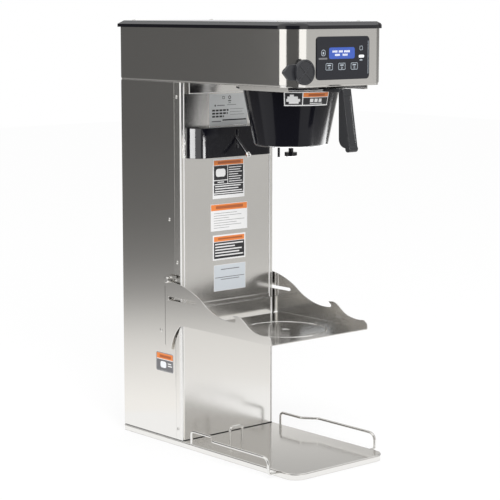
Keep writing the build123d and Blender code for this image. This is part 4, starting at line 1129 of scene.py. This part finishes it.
# %% Third front label
sheet = sheets[2]
width, height, band = sheet.width, sheet.height, 0.76 * sheet.height
sheet.grid(RIM, width - RIM, band, height - RIM, ink_orange)
sheet.bars([(0.14, 0.88, 0.82, 0.93, ink_rust)], layer=2)
sheet.text(0.08 * width, 0.92 * width, 0.07 * height, 0.70 * height, 7, ink_grey, fill=0.16,
           ends=(0.5, 0.9, 0.75, 1.0))
sheet.done()

# %% [markdown]
# The top label is the fullest. Below its title it has a picture and a column of text side by side,
# then a wide box of text and a rule. Heights are shares of the sheet, so they follow its size.

# %% Top front label
sheet = sheets[3]
width, height, band, middle = sheet.width, sheet.height, 0.84 * sheet.height, 0.46 * sheet.width
sheet.grid(EDGE, width - EDGE, band, height - EDGE, ink_orange)
sheet.grid(0.16 * width, 0.88 * width, 0.87 * height, 0.97 * height - EDGE, ink_rust, layer=2)
sheet.grid(EDGE, middle, 0.47 * height, band - GAP, ink_black)
sheet.outline((EDGE + middle) / 2, 0.65 * height, 0.30 * width, 0.20 * height, 6 * MM, 0, ink_pale,
              layer=2)
sheet.grid(EDGE, middle, 0.37 * height, 0.45 * height, ink_black)
sheet.bars([(0.15, 0.35, 0.40, 0.425, ink_pale)], layer=2)
sheet.grid(middle + 1.5 * MM, width - EDGE, 0.37 * height, band - GAP, ink_black)
sheet.text(middle + 4 * MM, width - 2 * EDGE, 0.39 * height, 0.80 * height, 7, ink_pale, fill=0.35)
for bottom, top in ((0.14, 0.35), (0.09, 0.115)):
    sheet.grid(EDGE, width - EDGE, bottom * height, top * height, ink_black)
sheet.text(2 * EDGE, width - 2 * EDGE, 0.15 * height, 0.34 * height, 3, ink_pale)
sheet.done()

# %% [markdown]
# The side label has a dark frame round an orange title and a grey field with a white picture. It
# faces left, so only its rule differs from those of the front. The frame lies on the top layer,
# because the fields run out under it.

# %% Side label
low, high = islands("side_label")[0]
width, height = high.y - low.y, high.z - low.z
sheet = Print("side_label_print", "machine", facing_left(low.x, high.y, low.z), width, height)
frame_line, field = 0.6 * MM, 2 * MM
sheet.outline(width / 2, height / 2, width - frame_line, height - frame_line, 4 * MM, 1.3 * MM,
              ink_grey, layer=3)
sheet.grid(field, width - field, 0.66 * height, height - field, ink_orange)
sheet.grid(0.2 * width, 0.86 * width, 0.73 * height, height - 3 * field, ink_rust, layer=2)
sheet.grid(field, width - field, field, 0.62 * height, ink_grey)
sheet.outline(0.42 * width, 0.36 * height, 0.34 * width, 0.34 * height, 5 * MM, 0, ink_white,
              layer=2)
sheet.bars([(0.68, 0.92, 0.30, 0.36, ink_pale), (0.68, 0.88, 0.42, 0.48, ink_pale)], layer=2)
sheet.done()

# %% [markdown]
# The funnel's label is wrapped round a cone, so its Print turns right into an angle round the
# axis. A flat print projected onto the cone would stretch at its ends. The cone's radius at the
# label's lower and upper edge is measured on the solid.

# %% Round the funnel
LABEL_CLEAR = 0.12 * MM
funnel_low, funnel_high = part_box("funnel_label")
axis_y = sum(corner.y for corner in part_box("funnel_bowl")) / 2
label_points = [vert.co for vert in frame["nodes"]["funnel_label"].data.vertices]
turns = [math.atan2(co.x, axis_y - co.y) for co in label_points]
reach_low, reach_high = [
    max(math.hypot(co.x, co.y - axis_y) for co in label_points if abs(co.z - z) < NEAR)
    for z in (funnel_low.z, funnel_high.z)]
width = (max(turns) - min(turns)) * reach_high
height = funnel_high.z - funnel_low.z


def round_funnel(u, v, lift):
    turn = min(turns) + u / reach_high
    reach = reach_low + (reach_high - reach_low) * v / height + LABEL_CLEAR + lift
    return (math.sin(turn) * reach, axis_y - math.cos(turn) * reach, funnel_low.z + v)


print("funnel label", round(width, 4), "wide", round(height, 4), "high")

# %% [markdown]
# The funnel's label has a black picture field at the left, and an orange title above a black field
# at the right. A wide bar is cut into columns, because a single flat face would cut into the cone.

# %% Funnel label
sheet = Print("funnel_label_print", "brew funnel", round_funnel, width, height)
edge, split = 2.4 * MM, 0.37 * width
sheet.grid(edge, split, edge, height - edge, ink_black, columns=12)
for bottom, top, left, right in ((5, 9, 0.10, 0.30), (9, 15, 0.05, 0.33), (15, 20, 0.07, 0.28),
                                 (20, 24, 0.12, 0.20)):
    sheet.grid(left * width, right * width, bottom * MM, top * MM, ink_pale, columns=8, layer=2)
sheet.grid(split + edge, width - edge, 0.62 * height, height - edge, ink_orange, columns=20)
sheet.bars([(0.50, 0.88, 0.69, 0.83, ink_rust)], columns=12, layer=2)
sheet.grid(split + edge, width - edge, edge, 0.57 * height, ink_black, columns=20)
sheet.bars([(left, left + 0.075, 0.26, 0.50, ink_pale) for left in (0.54, 0.64, 0.74)], columns=4,
           layer=2)
sheet.bars([(0.54, 0.84, 0.14, 0.19, ink_pale)], columns=10, layer=2)
sheet.done()

# %% [markdown]
# The data plate is bare metal with black print: small frames, rows of boxes and lines of text. A
# real one may be etched, but that is too shallow to see, so the marks are drawn like print.

# %% Data plate
low, high = islands("data_plate")[0]
width, height = high.x - low.x, high.z - low.z
sheet = Print("data_plate_print", "machine", facing_front(low.x, low.y, low.z), width, height)
sheet.outline(0.37 * width, 0.88 * height, 7 * MM, 6 * MM, 1 * MM, 1.6 * MM, ink_black)
sheet.outline(0.53 * width, 0.88 * height, 8 * MM, 8 * MM, 3.9 * MM, 1.7 * MM, ink_black)
sheet.outline(0.15 * width, 0.64 * height, 4 * MM, 4 * MM, 1.8 * MM, 0, ink_black)
sheet.bars([(0.49, 0.57, 0.76, 0.79, ink_black), (0.50, 0.56, 0.70, 0.72, ink_grey),
            (0.06, 0.30, 0.13, 0.16, ink_grey), (0.34, 0.97, 0.16, 0.20, ink_black)])
for left, right, bottom, top, lines, fill in ((0.20, 0.40, 0.60, 0.68, 1, 0.3),
                                              (0.46, 0.70, 0.62, 0.68, 1, 0.25),
                                              (0.54, 0.92, 0.30, 0.56, 3, 0.12)):
    sheet.text(left * width, right * width, bottom * height, top * height, lines, ink_grey,
               layer=1, fill=fill)
BOX_WIDTH, BOX_TALL, BOX_PITCH = 0.075, 0.055, 0.095
for bottom, end, boxes in ((0.27, 0.38, 4), (0.365, 0.48, 5), (0.46, 0.50, 5)):
    for left in (0.07 + BOX_PITCH * i for i in range(boxes)):
        right = min(left + BOX_WIDTH, end)
        sheet.bars([(left, right, bottom, bottom + BOX_TALL, ink_black)])
sheet.done()

# %% [markdown]
# The control panel is dark film with pale marks: a cup at the left, a light and a pill at the
# right, and an upright line. They could be an image on the film, but at this size it would need
# many pixels for a few plain shapes.

# %% Panel marks
low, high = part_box("control_overlay")
window_low, window_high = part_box("display_window")
sheet = Print("panel_marks", "machine", facing_front(0, low.y, 0))
x = (low.x + window_low.x) / 2 + 1 * MM
sheet.outline(x, 888.0 * MM, 12 * MM, 13 * MM, 5.4 * MM, 1.1 * MM, ink_panel)
sheet.outline(x, 887.5 * MM, 4 * MM, 5 * MM, 1.8 * MM, 0, ink_panel)
sheet.grid(x - 13 * MM, x + 11 * MM, 874.5 * MM, 878.0 * MM, ink_grey)
sheet.grid(high.x - 4.2 * MM, high.x - 3.2 * MM, low.z + 10 * MM, high.z - 10 * MM, ink_panel)
x = (high.x + window_high.x) / 2 - 3 * MM
sheet.outline(x, 896.5 * MM, 9 * MM, 9 * MM, 2.5 * MM, 1.0 * MM, ink_panel)
sheet.outline(x + 1 * MM, 879.5 * MM, 16 * MM, 6 * MM, 2.9 * MM, 0, ink_white)
sheet.grid(x - 4 * MM, x + 4 * MM, 870.5 * MM, 873.0 * MM, ink_panel)
sheet.done()

# %% [markdown]
# Two rows of blocks stand for the display's letters. They could glow, but in a white room a lit
# display is hardly brighter than pale ink.

# %% Display marks
LETTER_WIDTH, LETTER_HALF, LETTER_PITCH = 2.0, 2.1, 2.9
middle = (window_low + window_high) / 2
sheet = Print("display_marks", "machine", facing_front(middle.x, window_low.y, middle.z))
for row, start, letters in ((3.4, -27, 5), (3.4, -9, 4), (3.4, 6, 6), (-3.6, -20, 5), (-3.6, 2, 5)):
    for left in (start + LETTER_PITCH * i for i in range(letters)):
        sheet.grid(left * MM, (left + LETTER_WIDTH) * MM, (row - LETTER_HALF) * MM,
                   (row + LETTER_HALF) * MM, ink_white)
sheet.done()

# %% [markdown]
# Each key has a frame, a bar and a ring. They ride on their own key, so they move in with it. The
# key's flange is behind the panel, and the frame stays inside what shows.

# %% Key marks
FLANGES = 2.3 * MM
for side in ("left", "middle", "right"):
    low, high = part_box(f"button_{side}")
    middle = (low + high) / 2
    sheet = Print(f"key_marks_{side}", f"{side} button", facing_front(middle.x, low.y, middle.z))
    sheet.outline(0, 0, high.x - low.x - FLANGES, high.z - low.z - FLANGES, 2.5 * MM, 1.0 * MM,
                  ink_panel)
    sheet.grid(-5.0 * MM, 5.0 * MM, 1.6 * MM, 3.8 * MM, ink_panel)
    sheet.outline(0, -2.6 * MM, 4.4 * MM, 4.4 * MM, 2.1 * MM, 0.9 * MM, ink_panel)
    sheet.done()
